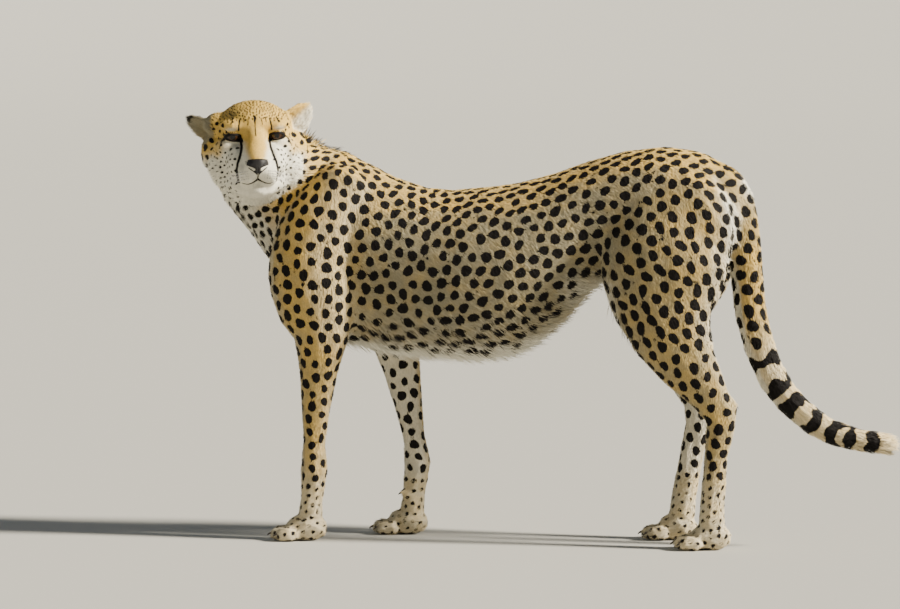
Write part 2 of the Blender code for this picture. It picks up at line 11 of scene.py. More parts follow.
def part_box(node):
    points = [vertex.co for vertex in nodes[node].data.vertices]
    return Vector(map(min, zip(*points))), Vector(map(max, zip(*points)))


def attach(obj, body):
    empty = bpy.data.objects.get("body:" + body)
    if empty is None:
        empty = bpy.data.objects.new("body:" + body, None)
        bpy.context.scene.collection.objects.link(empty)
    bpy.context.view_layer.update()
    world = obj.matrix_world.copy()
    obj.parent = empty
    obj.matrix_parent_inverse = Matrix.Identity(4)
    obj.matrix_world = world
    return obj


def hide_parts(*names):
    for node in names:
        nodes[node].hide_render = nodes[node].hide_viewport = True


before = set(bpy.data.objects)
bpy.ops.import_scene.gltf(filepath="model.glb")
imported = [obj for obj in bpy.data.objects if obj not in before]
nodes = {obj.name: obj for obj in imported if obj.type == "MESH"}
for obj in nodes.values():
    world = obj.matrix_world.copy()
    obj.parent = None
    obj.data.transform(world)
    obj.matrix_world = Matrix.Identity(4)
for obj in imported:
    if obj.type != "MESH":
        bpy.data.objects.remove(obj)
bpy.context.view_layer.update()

# ---- hide --------------------------------------------------------------------------------------------------
# The hide is one closed skin over the whole animal, from the muzzle to the toes and the tip of the tail. It
# is cast in one piece over the frame's flesh, worked finer over the head, and lies under the coat by the
# coat's own depth.

hide_grain = 0.0030  # spacing of the hide's points on the head
hide_body_share = 0.11
hide_longest = 0.0120  # of those points that the body keeps
joint_swell = 0.0006  # closes the fine gaps between the frame's pieces
coat_depths = {  # how far the hide lies under the tips of the coat
    "head": 0.0014, "nose": 0.0005, "ear": 0.0006, "neck": 0.0030, "trunk": 0.0024, "tail": 0.0034,
    "upper_arm": 0.0024, "thigh": 0.0024, "forearm": 0.0018, "shank": 0.0018,
    "forepaw": 0.0014, "hindpaw": 0.0014,
}
head_home = Vector((-0.465, -0.130, 0.768))  # the head's own frame, before the model was centred on the floor
eye_rise = 0.0045  # of the eyes over that frame
head_turn = (
    Matrix.Rotation(math.radians(16.0), 3, "Z")
    @ Matrix.Rotation(math.radians(2.0), 3, "X")
    @ Matrix.Rotation(math.radians(-2.0), 3, "Y")
)


def middle(name):
    """The middle of a node's box."""
    low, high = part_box(name)
    return (low + high) / 2


head_origin = (middle("eye_left") + middle("eye_right")) / 2 - head_turn @ Vector((0.0, 0.0, eye_rise))
centring = np.array(head_origin - head_home)
head_axes = np.array(head_turn)


def to_head(points):
    """Points in the head's frame: to the animal's left, forward out of the face, and up."""
    return ((points - np.array(head_origin)) @ head_axes) * (1.0, -1.0, 1.0)


def from_head(places):
    """Places in the head's frame as points of the model."""
    return (np.asarray(places, float) * (1.0, -1.0, 1.0)) @ head_axes.T + np.array(head_origin)


def way_from_head(ways):
    """Directions in the head's frame as directions of the model."""
    return (np.asarray(ways, float) * (1.0, -1.0, 1.0)) @ head_axes.T


def rise(low, high, x):
    """A soft step from 0 at low to 1 at high."""
    t = np.clip((np.asarray(x, float) - low) / (high - low), 0.0, 1.0)
    return t * t * (3.0 - 2.0 * t)


def unit(ways):
    """Directions made one long."""
    return ways / np.maximum(np.linalg.norm(ways, axis=-1, keepdims=True), 1e-12)


def mesh_of(name, points, faces):
    """A mesh from an array of points and one of faces with the same number of corners."""
    made = bpy.data.meshes.new(name)
    made.vertices.add(len(points))
    made.vertices.foreach_set("co", np.ascontiguousarray(points, np.float32).ravel())
    made.loops.add(faces.size)
    made.loops.foreach_set("vertex_index", np.ascontiguousarray(faces, np.int32).ravel())
    made.polygons.add(len(faces))
    made.polygons.foreach_set("loop_start", np.arange(0, faces.size, faces.shape[1], dtype=np.int32))
    made.update(calc_edges=True)
    return made


def piece_of(name, mesh, *finishes):
    """An object of the scene that holds a mesh, with its finishes."""
    made = bpy.data.objects.new(name, mesh)
    bpy.context.scene.collection.objects.link(made)
    for finish in finishes:
        mesh.materials.append(finish)
    return made


def points_of(mesh):
    found = np.empty(len(mesh.vertices) * 3, np.float32)
    mesh.vertices.foreach_get("co", found)
    return found.reshape(-1, 3).astype(float)


def flesh_of(name, swell):
    """A node's points and triangles, its loose triangles merged and its surface moved out a little."""
    bm = bmesh.new()
    bm.from_mesh(nodes[name].data)
    bmesh.ops.remove_doubles(bm, verts=bm.verts, dist=1e-5)
    bmesh.ops.triangulate(bm, faces=bm.faces)
    bm.normal_update()
    points = np.array([v.co + v.normal * swell for v in bm.verts])
    faces = np.array([[v.index for v in f.verts] for f in bm.faces])
    bm.free()
    return points, faces


def applied(piece, kind, **settings):
    """A piece's mesh after one modifier, and the piece gone."""
    step = piece.modifiers.new("step", kind)
    for setting, value in settings.items():
        setattr(step, setting, value)
    made = bpy.data.meshes.new_from_object(piece.evaluated_get(bpy.context.evaluated_depsgraph_get()))
    bpy.data.objects.remove(piece)
    return made


def neighbours(edges, count):
    """Each edge in both directions, and how many edges meet at each point."""
    both = np.concatenate([edges, edges[:, ::-1]])
    return both, np.maximum(np.bincount(both[:, 0], minlength=count), 1)[:, None]


def mean_around(values, both, meeting):
    """Each point's mean of the values next to it."""
    columns = [np.bincount(both[:, 0], values[both[:, 1], k], len(values)) for k in range(values.shape[1])]
    return np.stack(columns, axis=1) / meeting


def eased(points, edges, rounds, share=1.0):
    """Points drawn to their neighbours and let out again, which rounds off facets and keeps the bulk."""
    both, meeting = neighbours(edges, len(points))
    for _ in range(rounds):
        for pull in (0.50, -0.51):
            points = points + (mean_around(points, both, meeting) - points) * pull * share
    return points


def spread(values, edges, rounds):
    """Values softened across the surface."""
    both, meeting = neighbours(edges, len(values))
    for _ in range(rounds):
        values = (values + mean_around(values, both, meeting)) / 2
    return values


def edges_of(mesh):
    found = np.empty(len(mesh.edges) * 2, np.int32)
    mesh.edges.foreach_get("vertices", found)
    return found.reshape(-1, 2)


def triangles_of(mesh):
    mesh.calc_loop_triangles()
    found = np.empty(len(mesh.loop_triangles) * 3, np.int32)
    mesh.loop_triangles.foreach_get("vertices", found)
    return found.reshape(-1, 3)


def normals_of(points, triangles):
    """Each point's normal, from the triangles that meet there."""
    a, b, c = (points[triangles[:, k]] for k in range(3))
    facing = np.cross(b - a, c - a)
    total = np.zeros_like(points)
    for k in range(3):
        for axis in range(3):
            total[:, axis] += np.bincount(triangles[:, k], facing[:, axis], len(points))
    return unit(total)


def ear_distance(points):
    """How far points are from the middle of the nearer ear."""
    return np.minimum(*(
        np.linalg.norm(points - np.array(middle(f"ear_{side}")), axis=1) for side in ("left", "right")
    ))


flesh_names = sorted(n for n in nodes if "claw" not in n and not n.startswith("eye"))
eye_names = ("eye_left", "eye_right")
cast_points, cast_faces, cast_owner = [], [], []
for owner, name in enumerate((*flesh_names, *eye_names)):
    points, faces = flesh_of(name, joint_swell)
    cast_faces.append(faces + sum(len(p) for p in cast_points))
    cast_points.append(points)
    cast_owner += [owner] * len(faces)
cast_points, cast_faces = np.concatenate(cast_points), np.concatenate(cast_faces)
cast_owner = np.array(cast_owner)
flesh_tree = BVHTree.FromPolygons(cast_points.tolist(), cast_faces.tolist())

cast = piece_of("cast", mesh_of("cast", cast_points, cast_faces))
rough = applied(cast, "REMESH", mode="VOXEL", voxel_size=hide_grain, adaptivity=0.0)
points = points_of(rough)
places = to_head(points)
head_share = rise(-0.150, -0.105, places[:, 1]) * rise(-0.150, -0.115, places[:, 2])
head_share *= rise(0.175, 0.145, np.linalg.norm(places + (0.0, 0.03, 0.03), axis=1))
near_ear = ear_distance(points)
low_foot = rise(0.120, 0.070, points[:, 2])
still = 1.0 - 0.75 * rise(0.050, 0.030, near_ear) - 0.55 * low_foot * (1 - head_share)
points = eased(points, edges_of(rough), 26, still[:, None])
body = piece_of("body", rough)
rough.vertices.foreach_set("co", points.astype(np.float32).ravel())
thin = body.vertex_groups.new(name="thin")
for at in np.flatnonzero((head_share < 0.02) | (places[:, 1] < -0.030) & (near_ear > 0.050)).tolist():
    thin.add((at,), 1.0, "REPLACE")
hide_mesh = applied(body, "DECIMATE", ratio=hide_body_share, vertex_group="thin", vertex_group_factor=1000.0)


def evened(mesh, longest):
    """The mesh with its longer edges halved in up to six rounds, so each face is small beside a marking."""
    bm = bmesh.new()
    bm.from_mesh(mesh)
    for _ in range(6):
        halved = [e for e in bm.edges if e.calc_length() > longest]
        if not halved:
            break
        bmesh.ops.subdivide_edges(bm, edges=halved, cuts=1)
        bmesh.ops.triangulate(bm, faces=bm.faces)
    bmesh.ops.dissolve_degenerate(bm, dist=1e-5, edges=bm.edges)
    bmesh.ops.triangulate(bm, faces=bm.faces)
    bmesh.ops.delete(bm, geom=[v for v in bm.verts if not v.link_faces], context="VERTS")
    bm.to_mesh(mesh)
    bm.free()


evened(hide_mesh, hide_longest)


def refined(mesh, wanted):
    """The mesh with each edge halved whose two ends are wanted, which makes four faces of one there."""
    bm = bmesh.new()
    bm.from_mesh(mesh)
    halved = [e for e in bm.edges if wanted[e.verts[0].index] and wanted[e.verts[1].index]]
    bmesh.ops.subdivide_edges(bm, edges=halved, cuts=1, use_grid_fill=True)
    bmesh.ops.triangulate(bm, faces=bm.faces)
    bm.to_mesh(mesh)
    bm.free()


eye_spread = (middle("eye_left") - middle("eye_right")).length / 2
ball_radius = 0.0161
for reach in ("face", "features"):
    places = to_head(points_of(hide_mesh))
    across, forward, up = np.abs(places[:, 0]), places[:, 1], places[:, 2]
    if reach == "face":
        wanted = (forward > 0.018) & (across < 0.060) & (up > -0.104) & (up < 0.028)
    else:
        wanted = (np.hypot(across - eye_spread, up - eye_rise) < 0.022) & (forward > 0.0)
        wanted |= (across < 0.027) & (forward > 0.050) & (up > -0.090) & (up < -0.066)
    refined(hide_mesh, wanted)
points, edges, triangles = points_of(hide_mesh), edges_of(hide_mesh), triangles_of(hide_mesh)
places = to_head(points)
points = eased(points, edges, 5, (rise(-0.02, 0.01, places[:, 1]) * (np.abs(places[:, 0]) < 0.08))[:, None])
near_ear = ear_distance(points)
points = eased(points, edges, 6, rise(0.048, 0.034, near_ear)[:, None])

kinds = tuple(coat_depths)
kind_of_node = [next(k for k, kind in enumerate(kinds) if name.startswith(kind)) for name in flesh_names]
nearest = [flesh_tree.find_nearest(place)[2] for place in points.tolist()]
owner = cast_owner[nearest]
owner[owner >= len(flesh_names)] = flesh_names.index("head")
kind = np.array(kind_of_node)[owner]


def is_kind(*names):
    """Which points belong to these kinds of node."""
    return np.isin(kind, [kinds.index(name) for name in names])


depth = spread(np.array([coat_depths[name] for name in kinds])[kind][:, None], edges, 20)
points -= normals_of(points, triangles) * depth
points[:, 2] = np.maximum(points[:, 2], 0.0)


def line_distance(places, line):
    """How far places are from a bent line, and how far along it they lie, counted in its stretches."""
    nearest, along = np.full(len(places), 1e9), np.zeros(len(places))
    for k, (start, end) in enumerate(zip(np.asarray(line, float)[:-1], np.asarray(line, float)[1:])):
        way = end - start
        t = np.clip((places - start) @ way / (way @ way), 0.0, 1.0)
        gap = np.linalg.norm(places - start - t[:, None] * way, axis=1)
        closer = gap < nearest
        nearest, along = np.where(closer, gap, nearest), np.where(closer, k + t, along)
    return nearest, along


def swelled(points, places, centre, reach, height):
    """The face raised about a place on both sides, or pressed in with a negative height."""
    mirrored = np.abs(places) * (1, 0, 0) + places * (0, 1, 1)
    swell = np.exp(-(((mirrored - centre) / reach) ** 2).sum(axis=1))
    return points + normals_of(points, triangles) * (height * swell)[:, None]


# Forms of the face: place of the middle, half widths, height, in the head's frame.
face_forms = (
    ((0.040, 0.012, 0.0215), (0.019, 0.024, 0.0065), 0.0046),  # brow over the eye
    ((0.020, 0.030, 0.000), (0.006, 0.022, 0.011), -0.0035),  # hollow at the eye's inner corner
    ((0.030, 0.040, -0.034), (0.007, 0.022, 0.013), -0.0030),  # hollow beside the bridge of the nose
    ((0.048, 0.006, -0.016), (0.016, 0.022, 0.007), 0.0020),  # cheekbone under the eye
    ((0.021, 0.074, -0.064), (0.012, 0.022, 0.012), 0.0030),  # whisker pad
    ((0.043, 0.030, -0.076), (0.008, 0.030, 0.010), -0.0030),  # corner of the mouth
)
mouth_line = np.array((  # across, up
    (0.0, -0.0640), (0.0, -0.0735), (0.0065, -0.0775), (0.0130, -0.0805), (0.0205, -0.0825),
    (0.0290, -0.0800), (0.0360, -0.0745),
))
tear_line = np.array((
    (0.0265, -0.0020), (0.0272, -0.0170), (0.0310, -0.0300), (0.0362, -0.0430), (0.0388, -0.0570),
    (0.0372, -0.0700), (0.0350, -0.0810),
))
for centre, reach, height in face_forms:
    points = swelled(points, to_head(points), centre, reach, height)
places = to_head(points)
front = rise(0.000, 0.012, places[:, 1])
folded = np.stack([np.abs(places[:, 0]), places[:, 2]], axis=1)
gap, along = line_distance(folded, mouth_line)
groove = 0.0026 * np.exp(-((gap / 0.0016) ** 2)) * (1.0 - 0.35 * along / 6) * (places[:, 1] > 0.02)
gap, _ = line_distance(folded, tear_line)
groove += 0.0009 * np.exp(-((gap / 0.0026) ** 2)) * front
points -= normals_of(points, triangles) * groove[:, None]

# The lids lie close over the eyeball and meet in an almond, whose outer corner droops a little and whose
# inner corner runs down towards the tear line.
lid_drop = 0.0033  # of the opening's middle under the eye's
lid_edge = np.array((  # outward from the opening's middle, up
    (-0.0140, -0.0060), (-0.0112, 0.0020), (-0.0064, 0.0050), (0.0000, 0.0058), (0.0060, 0.0054),
    (0.0108, 0.0036), (0.0144, 0.0004), (0.0110, -0.0026), (0.0055, -0.0046), (-0.0005, -0.0056),
    (-0.0064, -0.0062), (-0.0114, -0.0070),
))


def closed_curve(knots, count):
    """A smooth closed line through the knots."""
    t = np.linspace(0, len(knots), count, endpoint=False)
    k = t.astype(int)
    x = (t - k)[:, None]
    p0, p1, p2, p3 = (knots[(k + step) % len(knots)] for step in (-1, 0, 1, 2))
    bend = (2 * p0 - 5 * p1 + 4 * p2 - p3) * x**2 + (3 * p1 - p0 - 3 * p2 + p3) * x**3
    return 0.5 * (2 * p1 + (p2 - p0) * x + bend)


lid_curve = closed_curve(lid_edge, 96)
lid_angle = np.arctan2(lid_curve[:, 1], lid_curve[:, 0])
order = np.argsort(lid_angle)
lid_angle, lid_reach = lid_angle[order], np.linalg.norm(lid_curve, axis=1)[order]


def eye_share(places, side):
    """Each place's offset from an opening's middle, and its distance as a share of the lids' edge's own."""
    offset = np.stack([side * places[:, 0] - eye_spread, places[:, 2] - eye_rise + lid_drop], axis=1)
    angle = np.arctan2(offset[:, 1], offset[:, 0])
    return offset, np.linalg.norm(offset, axis=1) / np.interp(angle, lid_angle, lid_reach, period=2 * math.pi)


places = to_head(points)
for side in (1, -1):
    offset, share = eye_share(places, side)
    from_middle = np.linalg.norm(offset - (0.0, lid_drop), axis=1)
    lid = ball_radius - 0.0045 + 0.0057 * rise(0.86, 1.02, share)
    wrapped = np.sqrt(np.maximum(lid**2 - from_middle**2, 0.0035**2))
    free = np.maximum(rise(1.10, 1.85, share), rise(0.0150, 0.0176, from_middle) * (share > 1.02))
    near = (places[:, 1] > -0.004) & (share < 1.85)
    places[near, 1] = (wrapped * (1 - free) + places[:, 1] * free)[near]
points = from_head(places)
from_eye = np.hypot(np.abs(places[:, 0]) - eye_spread, places[:, 2] - eye_rise)
lid_zone = (from_eye < 0.030) & (places[:, 1] > 0.0)
outside = np.minimum(eye_share(places, 1)[1], eye_share(places, -1)[1]) > 1.12
points = eased(points, edges, 3, (lid_zone & outside).astype(float)[:, None])


def band(rings, sides, closed=False, first=0):
    """The triangles between rings of points in a row, the last ring meeting the first if closed."""
    k, j = np.meshgrid(np.arange(rings if closed else rings - 1), np.arange(sides), indexing="ij")
    beyond = (j + 1) % sides
    here, there = k * sides, (k + 1) % rings * sides
    a, b, c, d = here + j, here + beyond, there + beyond, there + j
    halves = [np.stack(corners, -1).reshape(-1, 3) for corners in ((a, b, c), (a, c, d))]
    return first + np.concatenate(halves)


def ring_rod(path, across, out, wide, deep, sides=10):
    """A closed rod along a closed path, whose section is wide across the surface and deep out of it."""
    turns = np.linspace(0, 2 * math.pi, sides, endpoint=False)
    rings = (
        path[:, None] + across[:, None] * (wide * np.cos(turns))[None, :, None]
        + out[:, None] * (deep * np.sin(turns))[None, :, None]
    )
    return rings.reshape(-1, 3), band(len(path), sides, closed=True)


def outward(points, faces):
    """The faces of a closed form, turned over if they look inwards."""
    a, b, c = ((points - points.mean(axis=0))[faces[:, k]] for k in range(3))
    return faces if (np.cross(a, b) * c).sum() > 0 else faces[:, ::-1]


hide_count = len(points)
rims = []
for side in (1, -1):
    seat = ball_radius + 0.0003
    depth_in = np.sqrt(np.maximum(seat**2 - ((lid_curve - (0.0, lid_drop)) ** 2).sum(axis=1), 0.004**2))
    lid_across, lid_up = eye_spread + lid_curve[:, 0], lid_curve[:, 1] + eye_rise - lid_drop
    path = np.stack([side * lid_across, depth_in, lid_up], axis=1)
    out = unit(path - (side * eye_spread, 0.0, eye_rise))
    along = unit(np.roll(path, -1, axis=0) - np.roll(path, 1, axis=0))
    rim_points, rim_faces = ring_rod(path, np.cross(along, out), out, 0.0013, 0.0009)
    rim_points = from_head(rim_points)
    rims.append((rim_points, outward(rim_points, rim_faces)))
for rim_points, rim_faces in rims:
    triangles = np.concatenate([triangles, rim_faces + len(points)])
    points = np.concatenate([points, rim_points])

hide = piece_of("hide", mesh_of("hide", points, triangles))
hide.data.shade_smooth()
hide_normals = normals_of(points, triangles)
hide_tree = BVHTree.FromPolygons(points.tolist(), triangles.tolist())
head_places = to_head(points)

# ---- lie of the coat ---------------------------------------------------------------------------------------
# The hair starts at the nose and runs back over the head, along the back to the tail's tip, and down the
# flanks and legs to the toes. Its length, its lift off the hide and how close it stands change from place
# to place.

kind = np.concatenate([kind, np.full(len(points) - hide_count, kinds.index("head"))])
owner = np.concatenate([owner, np.full(len(points) - hide_count, flesh_names.index("head"))])
edges = edges_of(hide.data)
along_head, along_up = head_places[:, 1], head_places[:, 2]
across_head = np.abs(head_places[:, 0])
body_side = np.sign(points[:, 1] - centring[1])
outer = hide_normals[:, 1] * body_side  # 1 on an outer side, -1 on an inner side
top, bottom = np.maximum(hide_normals[:, 2], 0), np.maximum(-hide_normals[:, 2], 0)
rear = hide_normals[:, 0]

tail_line = centring + np.array((
    (0.414, 0.000, 0.682), (0.436, 0.000, 0.642), (0.447, 0.000, 0.585), (0.454, 0.000, 0.520),
    (0.461, -0.002, 0.450), (0.477, -0.005, 0.385), (0.506, -0.009, 0.318), (0.548, -0.013, 0.267),
    (0.602, -0.017, 0.227), (0.660, -0.020, 0.208), (0.722, -0.022, 0.199),
))
tail_steps = np.linalg.norm(np.diff(tail_line, axis=0), axis=1)
tail_reach = np.concatenate([[0.0], np.cumsum(tail_steps)])


def from_tail_tip(places):
    """How far each place is from the tail's tip, along the tail."""
    _, along = line_distance(places, tail_line)
    return tail_reach[-1] - np.interp(along, np.arange(len(tail_line)), tail_reach)


tail_left = from_tail_tip(points)
_, along_tail = line_distance(points, tail_line)
tail_ways = unit(np.diff(tail_line, axis=0))[np.minimum(along_tail.astype(int), len(tail_line) - 2)]

lie = np.tile((1.0, 0.0, -0.25), (len(points), 1))
lie[:, 2] -= 0.55 * np.abs(hide_normals[:, 1]) * is_kind("trunk")
for names, way in (
    (("neck",), (0.72, 0.03, -0.50)), (("upper_arm",), (0.22, 0.0, -1.0)), (("thigh",), (0.42, 0.0, -0.9)),
    (("forearm", "shank"), (0.06, 0.0, -1.0)), (("forepaw", "hindpaw"), (-0.8, 0.0, -0.55)),
):
    lie[is_kind(*names)] = way
lie[is_kind("tail")] = tail_ways[is_kind("tail")]
nose_tip = from_head((0.0, 0.088, -0.050))
on_head = is_kind("head", "nose")
lie[on_head] = unit(points - nose_tip)[on_head]
ear_ways = {"left": (0.70, -0.10, 0.70), "right": (-0.80, -0.08, 0.60)}
ear_fronts = {"left": (0.30, 0.93, -0.16), "right": (-0.41, 0.69, -0.56)}
ear_front, ear_reach = np.zeros(len(points)), np.zeros(len(points))
for side in ("left", "right"):
    on_ear = owner == flesh_names.index(f"ear_{side}")
    lie[on_ear] = way_from_head(ear_ways[side])
    ear_front[on_ear] = (hide_normals @ unit(way_from_head(ear_fronts[side])))[on_ear]
    out = head_places[on_ear] @ unit(np.array(ear_ways[side]))
    ear_reach[on_ear] = (out - out.min()) / (out.max() - out.min())  # 0 at its root, 1 at its tip


def along_hide(ways, normals):
    """Directions laid down along the surface."""
    return unit(ways - normals * (ways * normals).sum(axis=1, keepdims=True))


lie = along_hide(spread(along_hide(lie, hide_normals), edges, 14), hide_normals)

# Length of the hair, its width, how steeply it rises, and how many tufts stand on a square metre.
hair = {
    "head": (0.0068, 0.0010, 0.20, 300e3), "nose": (0.0030, 0.0008, 0.15, 0.0),
    "ear": (0.0055, 0.0008, 0.20, 330e3), "neck": (0.0115, 0.0014, 0.22, 130e3),
    "trunk": (0.0100, 0.00135, 0.17, 113e3), "tail": (0.0130, 0.0015, 0.26, 150e3),
    "upper_arm": (0.0092, 0.0013, 0.17, 120e3), "thigh": (0.0098, 0.0013, 0.17, 118e3),
    "forearm": (0.0085, 0.0012, 0.20, 125e3), "shank": (0.0090, 0.0012, 0.20, 125e3),
    "forepaw": (0.0062, 0.0010, 0.20, 170e3), "hindpaw": (0.0062, 0.0010, 0.20, 170e3),
}
cover = np.array([hair[name] for name in kinds])[kind]


def toward(column, share, value):
    """One measure of the hair moved towards a value where share is near 1."""
    cover[:, column] += (value - cover[:, column]) * share


on_face = on_head * rise(-0.012, 0.012, along_head) * rise(0.070, 0.055, across_head)
for column, value in enumerate((0.0037, 0.00066, 0.17, 600e3)):
    toward(column, on_face, value)
ruff = on_head * rise(0.044, 0.062, across_head) * rise(-0.030, -0.060, along_up) * (1 - on_face)
ruff = np.maximum(ruff, on_head * rise(-0.078, -0.100, along_up) * (1 - on_face))
ear_inside = is_kind("ear") * rise(0.1, 0.6, ear_front)
crest = is_kind("neck", "trunk", "head") * rise(0.048, 0.018, np.abs(points[:, 1] - centring[1] + 0.02))
crest *= rise(0.35, 0.75, top) * rise(-0.535, -0.500, points[:, 0]) * rise(-0.240, -0.290, points[:, 0])
crest *= rise(-0.090, -0.110, along_head)
belly = is_kind("trunk") * rise(0.15, 0.65, bottom) * rise(0.56, 0.48, points[:, 2])
fold = is_kind("trunk", "thigh") * rise(0.02, 0.06, points[:, 0]) * rise(0.20, 0.13, points[:, 0])
fold *= rise(0.54, 0.49, points[:, 2])
throat_way = unit(np.array((-0.70, -0.25, -0.65)))
throat = is_kind("neck", "trunk") * rise(0.25, 0.75, hide_normals @ throat_way)
throat *= rise(-0.36, -0.42, points[:, 0])
seat = is_kind("thigh", "trunk") * rise(0.55, 0.85, rear) * rise(0.20, 0.27, points[:, 0])
tail_tuft = is_kind("tail") * rise(0.060, 0.010, tail_left)
for share, length, width, lift in (
    (ruff, 0.0150, 0.0013, 0.30), (ear_inside, 0.0105, 0.0009, 0.34), (belly, 0.0170, 0.0016, 0.28),
    (fold, 0.0170, 0.0016, 0.28), (throat, 0.0130, 0.0014, 0.26), (seat, 0.0150, 0.0015, 0.26),
    (tail_tuft, 0.0240, 0.0017, 0.34),
):
    for column, value in enumerate((length, width, lift)):
        toward(column, share, value)
cover[:, :3] = spread(cover[:, :3], edges, 10)
on_sole = is_kind("forepaw", "hindpaw") * rise(0.0045, 0.0015, points[:, 2])
bald = np.minimum(eye_share(head_places, 1)[1], eye_share(head_places, -1)[1]) < 1.22
bare = (np.arange(len(points)) >= hide_count) | (on_sole > 0.5)  # the lids' rims and the pads
bald = (bald & (along_head > 0)) | bare
cover[bald, 3] = 0.0

# ---- markings ----------------------------------------------------------------------------------------------
# Solid black spots lie all over the tawny coat and join into rings towards the tail's tip. The muzzle,
# chin, throat, belly and inner legs are white. A black line runs from each eye's inner corner down beside
# the muzzle. Part of the coat's colour is painted light and shade: the left side of the trunk and thighs
# and the forward-facing front are greyer, the rear and in part the top are more golden, and the right ear
# is darker inside.

draw = np.random.default_rng(11)


def scattered(triangles, points, share):
    """Random roots: the triangle of each, and its corners' shares. share is how many a square metre takes."""
    a, b, c = (points[triangles[:, k]] for k in range(3))
    area = np.linalg.norm(np.cross(b - a, c - a), axis=1) / 2
    wanted = area * share[triangles].mean(axis=1)
    count = np.floor(wanted + draw.random(len(wanted))).astype(int)
    home = np.repeat(np.arange(len(triangles)), count)
    r, t = np.sqrt(draw.random(len(home))), draw.random(len(home))
    return home, np.stack([1 - r, r * (1 - t), r * t], axis=1)


def carried(values, home, corners):
    """Point values carried to the roots."""
    picked = values[triangles[home]]
    return (picked * corners.reshape(corners.shape + (1,) * (picked.ndim - 2))).sum(axis=1)


# Radius of a spot and the least gap between two spots' middles.
spot_sizes = {
    "head": (0.0036, 0.0125), "nose": (0.001, 0.0), "ear": (0.001, 0.0), "neck": (0.0090, 0.0180),
    "trunk": (0.0099, 0.0206), "tail": (0.0117, 0.0220), "upper_arm": (0.0096, 0.0212),
    "thigh": (0.0113, 0.0222), "forearm": (0.0084, 0.0200), "shank": (0.0094, 0.0215),
    "forepaw": (0.0038, 0.0118), "hindpaw": (0.0040, 0.0122),
}
spot_size = spread(np.array([spot_sizes[name] for name in kinds])[kind], edges, 16)
on_crown = on_head * rise(0.026, 0.034, along_up) * rise(-0.085, -0.065, along_head)
on_cheek = on_head * rise(0.040, 0.046, across_head) * rise(-0.018, -0.026, along_up)
on_cheek *= rise(-0.095, -0.085, along_up)
on_cheek *= rise(-0.035, -0.015, along_head)
behind_face = on_head * rise(-0.030, -0.052, along_head) * (1 - on_crown) * rise(-0.075, -0.060, along_up)
for share, size in (
    (on_crown, (0.0019, 0.0052)), (on_cheek, (0.0026, 0.0080)), (behind_face, (0.0086, 0.0176)),
    (crest, (0.0092, 0.0168)),
):
    spot_size += (np.array(size) - spot_size) * share[:, None]
shoulder = is_kind("trunk", "neck") * rise(-0.30, -0.38, points[:, 0])
spot_size *= (1 - 0.10 * shoulder)[:, None]
spot_size[:, 0] *= 1 + 0.05 * rise(0.3, 0.8, top) * is_kind("trunk", "thigh") + 0.10 * seat
spot_size[:, 1] *= 1 - 0.10 * rise(0.3, 0.8, top) * is_kind("trunk", "thigh")
spotless = is_kind("nose", "ear") | (tail_left < 0.325) & is_kind("tail")
spotless |= on_head & (along_head > -0.012) & (
    (across_head < 0.041) & (along_up < 0.027)
    | (across_head < 0.060) & (along_up < 0.032) & (along_up > -0.020)
    | (across_head < 0.030) & (along_up < 0.037)
)
spotless |= on_head & (along_up < -0.085) & (across_head < 0.034)
spotless |= bald | (belly * rise(0.06, 0.045, np.abs(points[:, 1] - centring[1])) > 0.5)

tries_each = 9.0  # tried places in the square of a least gap
spot_tries = np.where(spotless, 0.0, tries_each / np.maximum(spot_size[:, 1], 0.004) ** 2)
home, corners = scattered(triangles, points, spot_tries)
tries = draw.permutation(len(home))
home, corners = home[tries], corners[tries]
seed_place, seed_size = carried(points, home, corners), carried(spot_size, home, corners)
cell = 0.028  # side of the boxes that kept spots are sorted into
taken = {}
kept = []
for k, (place, gap) in enumerate(zip(seed_place.tolist(), seed_size[:, 1].tolist())):
    at = tuple(int(v // cell) for v in place)
    close = (
        other
        for i in (-1, 0, 1) for j in (-1, 0, 1) for m in (-1, 0, 1)
        for other in taken.get((at[0] + i, at[1] + j, at[2] + m), ())
    )
    if all(
        (place[0] - p[0]) ** 2 + (place[1] - p[1]) ** 2 + (place[2] - p[2]) ** 2 > (0.5 * (gap + g)) ** 2
        for p, g in close
    ):
        taken.setdefault(at, []).append((place, gap))
        kept.append(k)
spots, spot_gap = seed_place[kept], seed_size[kept, 1]


def tree_of(places):
    """Places sorted so that those nearest to another place are found quickly."""
    tree = KDTree(len(places))
    for k, place in enumerate(places.tolist()):
        tree.insert(place, k)
    tree.balance()
    return tree


evening_rounds, evening_reach, evening_push = 14, 1.35, 0.20  # spots nearer than reach least gaps move apart
for _ in range(evening_rounds):
    near = tree_of(spots)
    pushed = np.zeros_like(spots)
    for k, place in enumerate(spots.tolist()):
        for other, m, gap in near.find_n(place, 6):
            if 0 < gap < evening_reach * spot_gap[k]:
                pushed[k] += (spots[k] - spots[m]) / gap * (evening_reach * spot_gap[k] - gap) * evening_push
    spots = np.array([hide_tree.find_nearest(place)[0] for place in (spots + pushed).tolist()])


def nearest_points(places):
    """The hide's point nearest to each place."""
    tree = tree_of(points)
    return np.array([tree.find(place)[1] for place in places.tolist()])


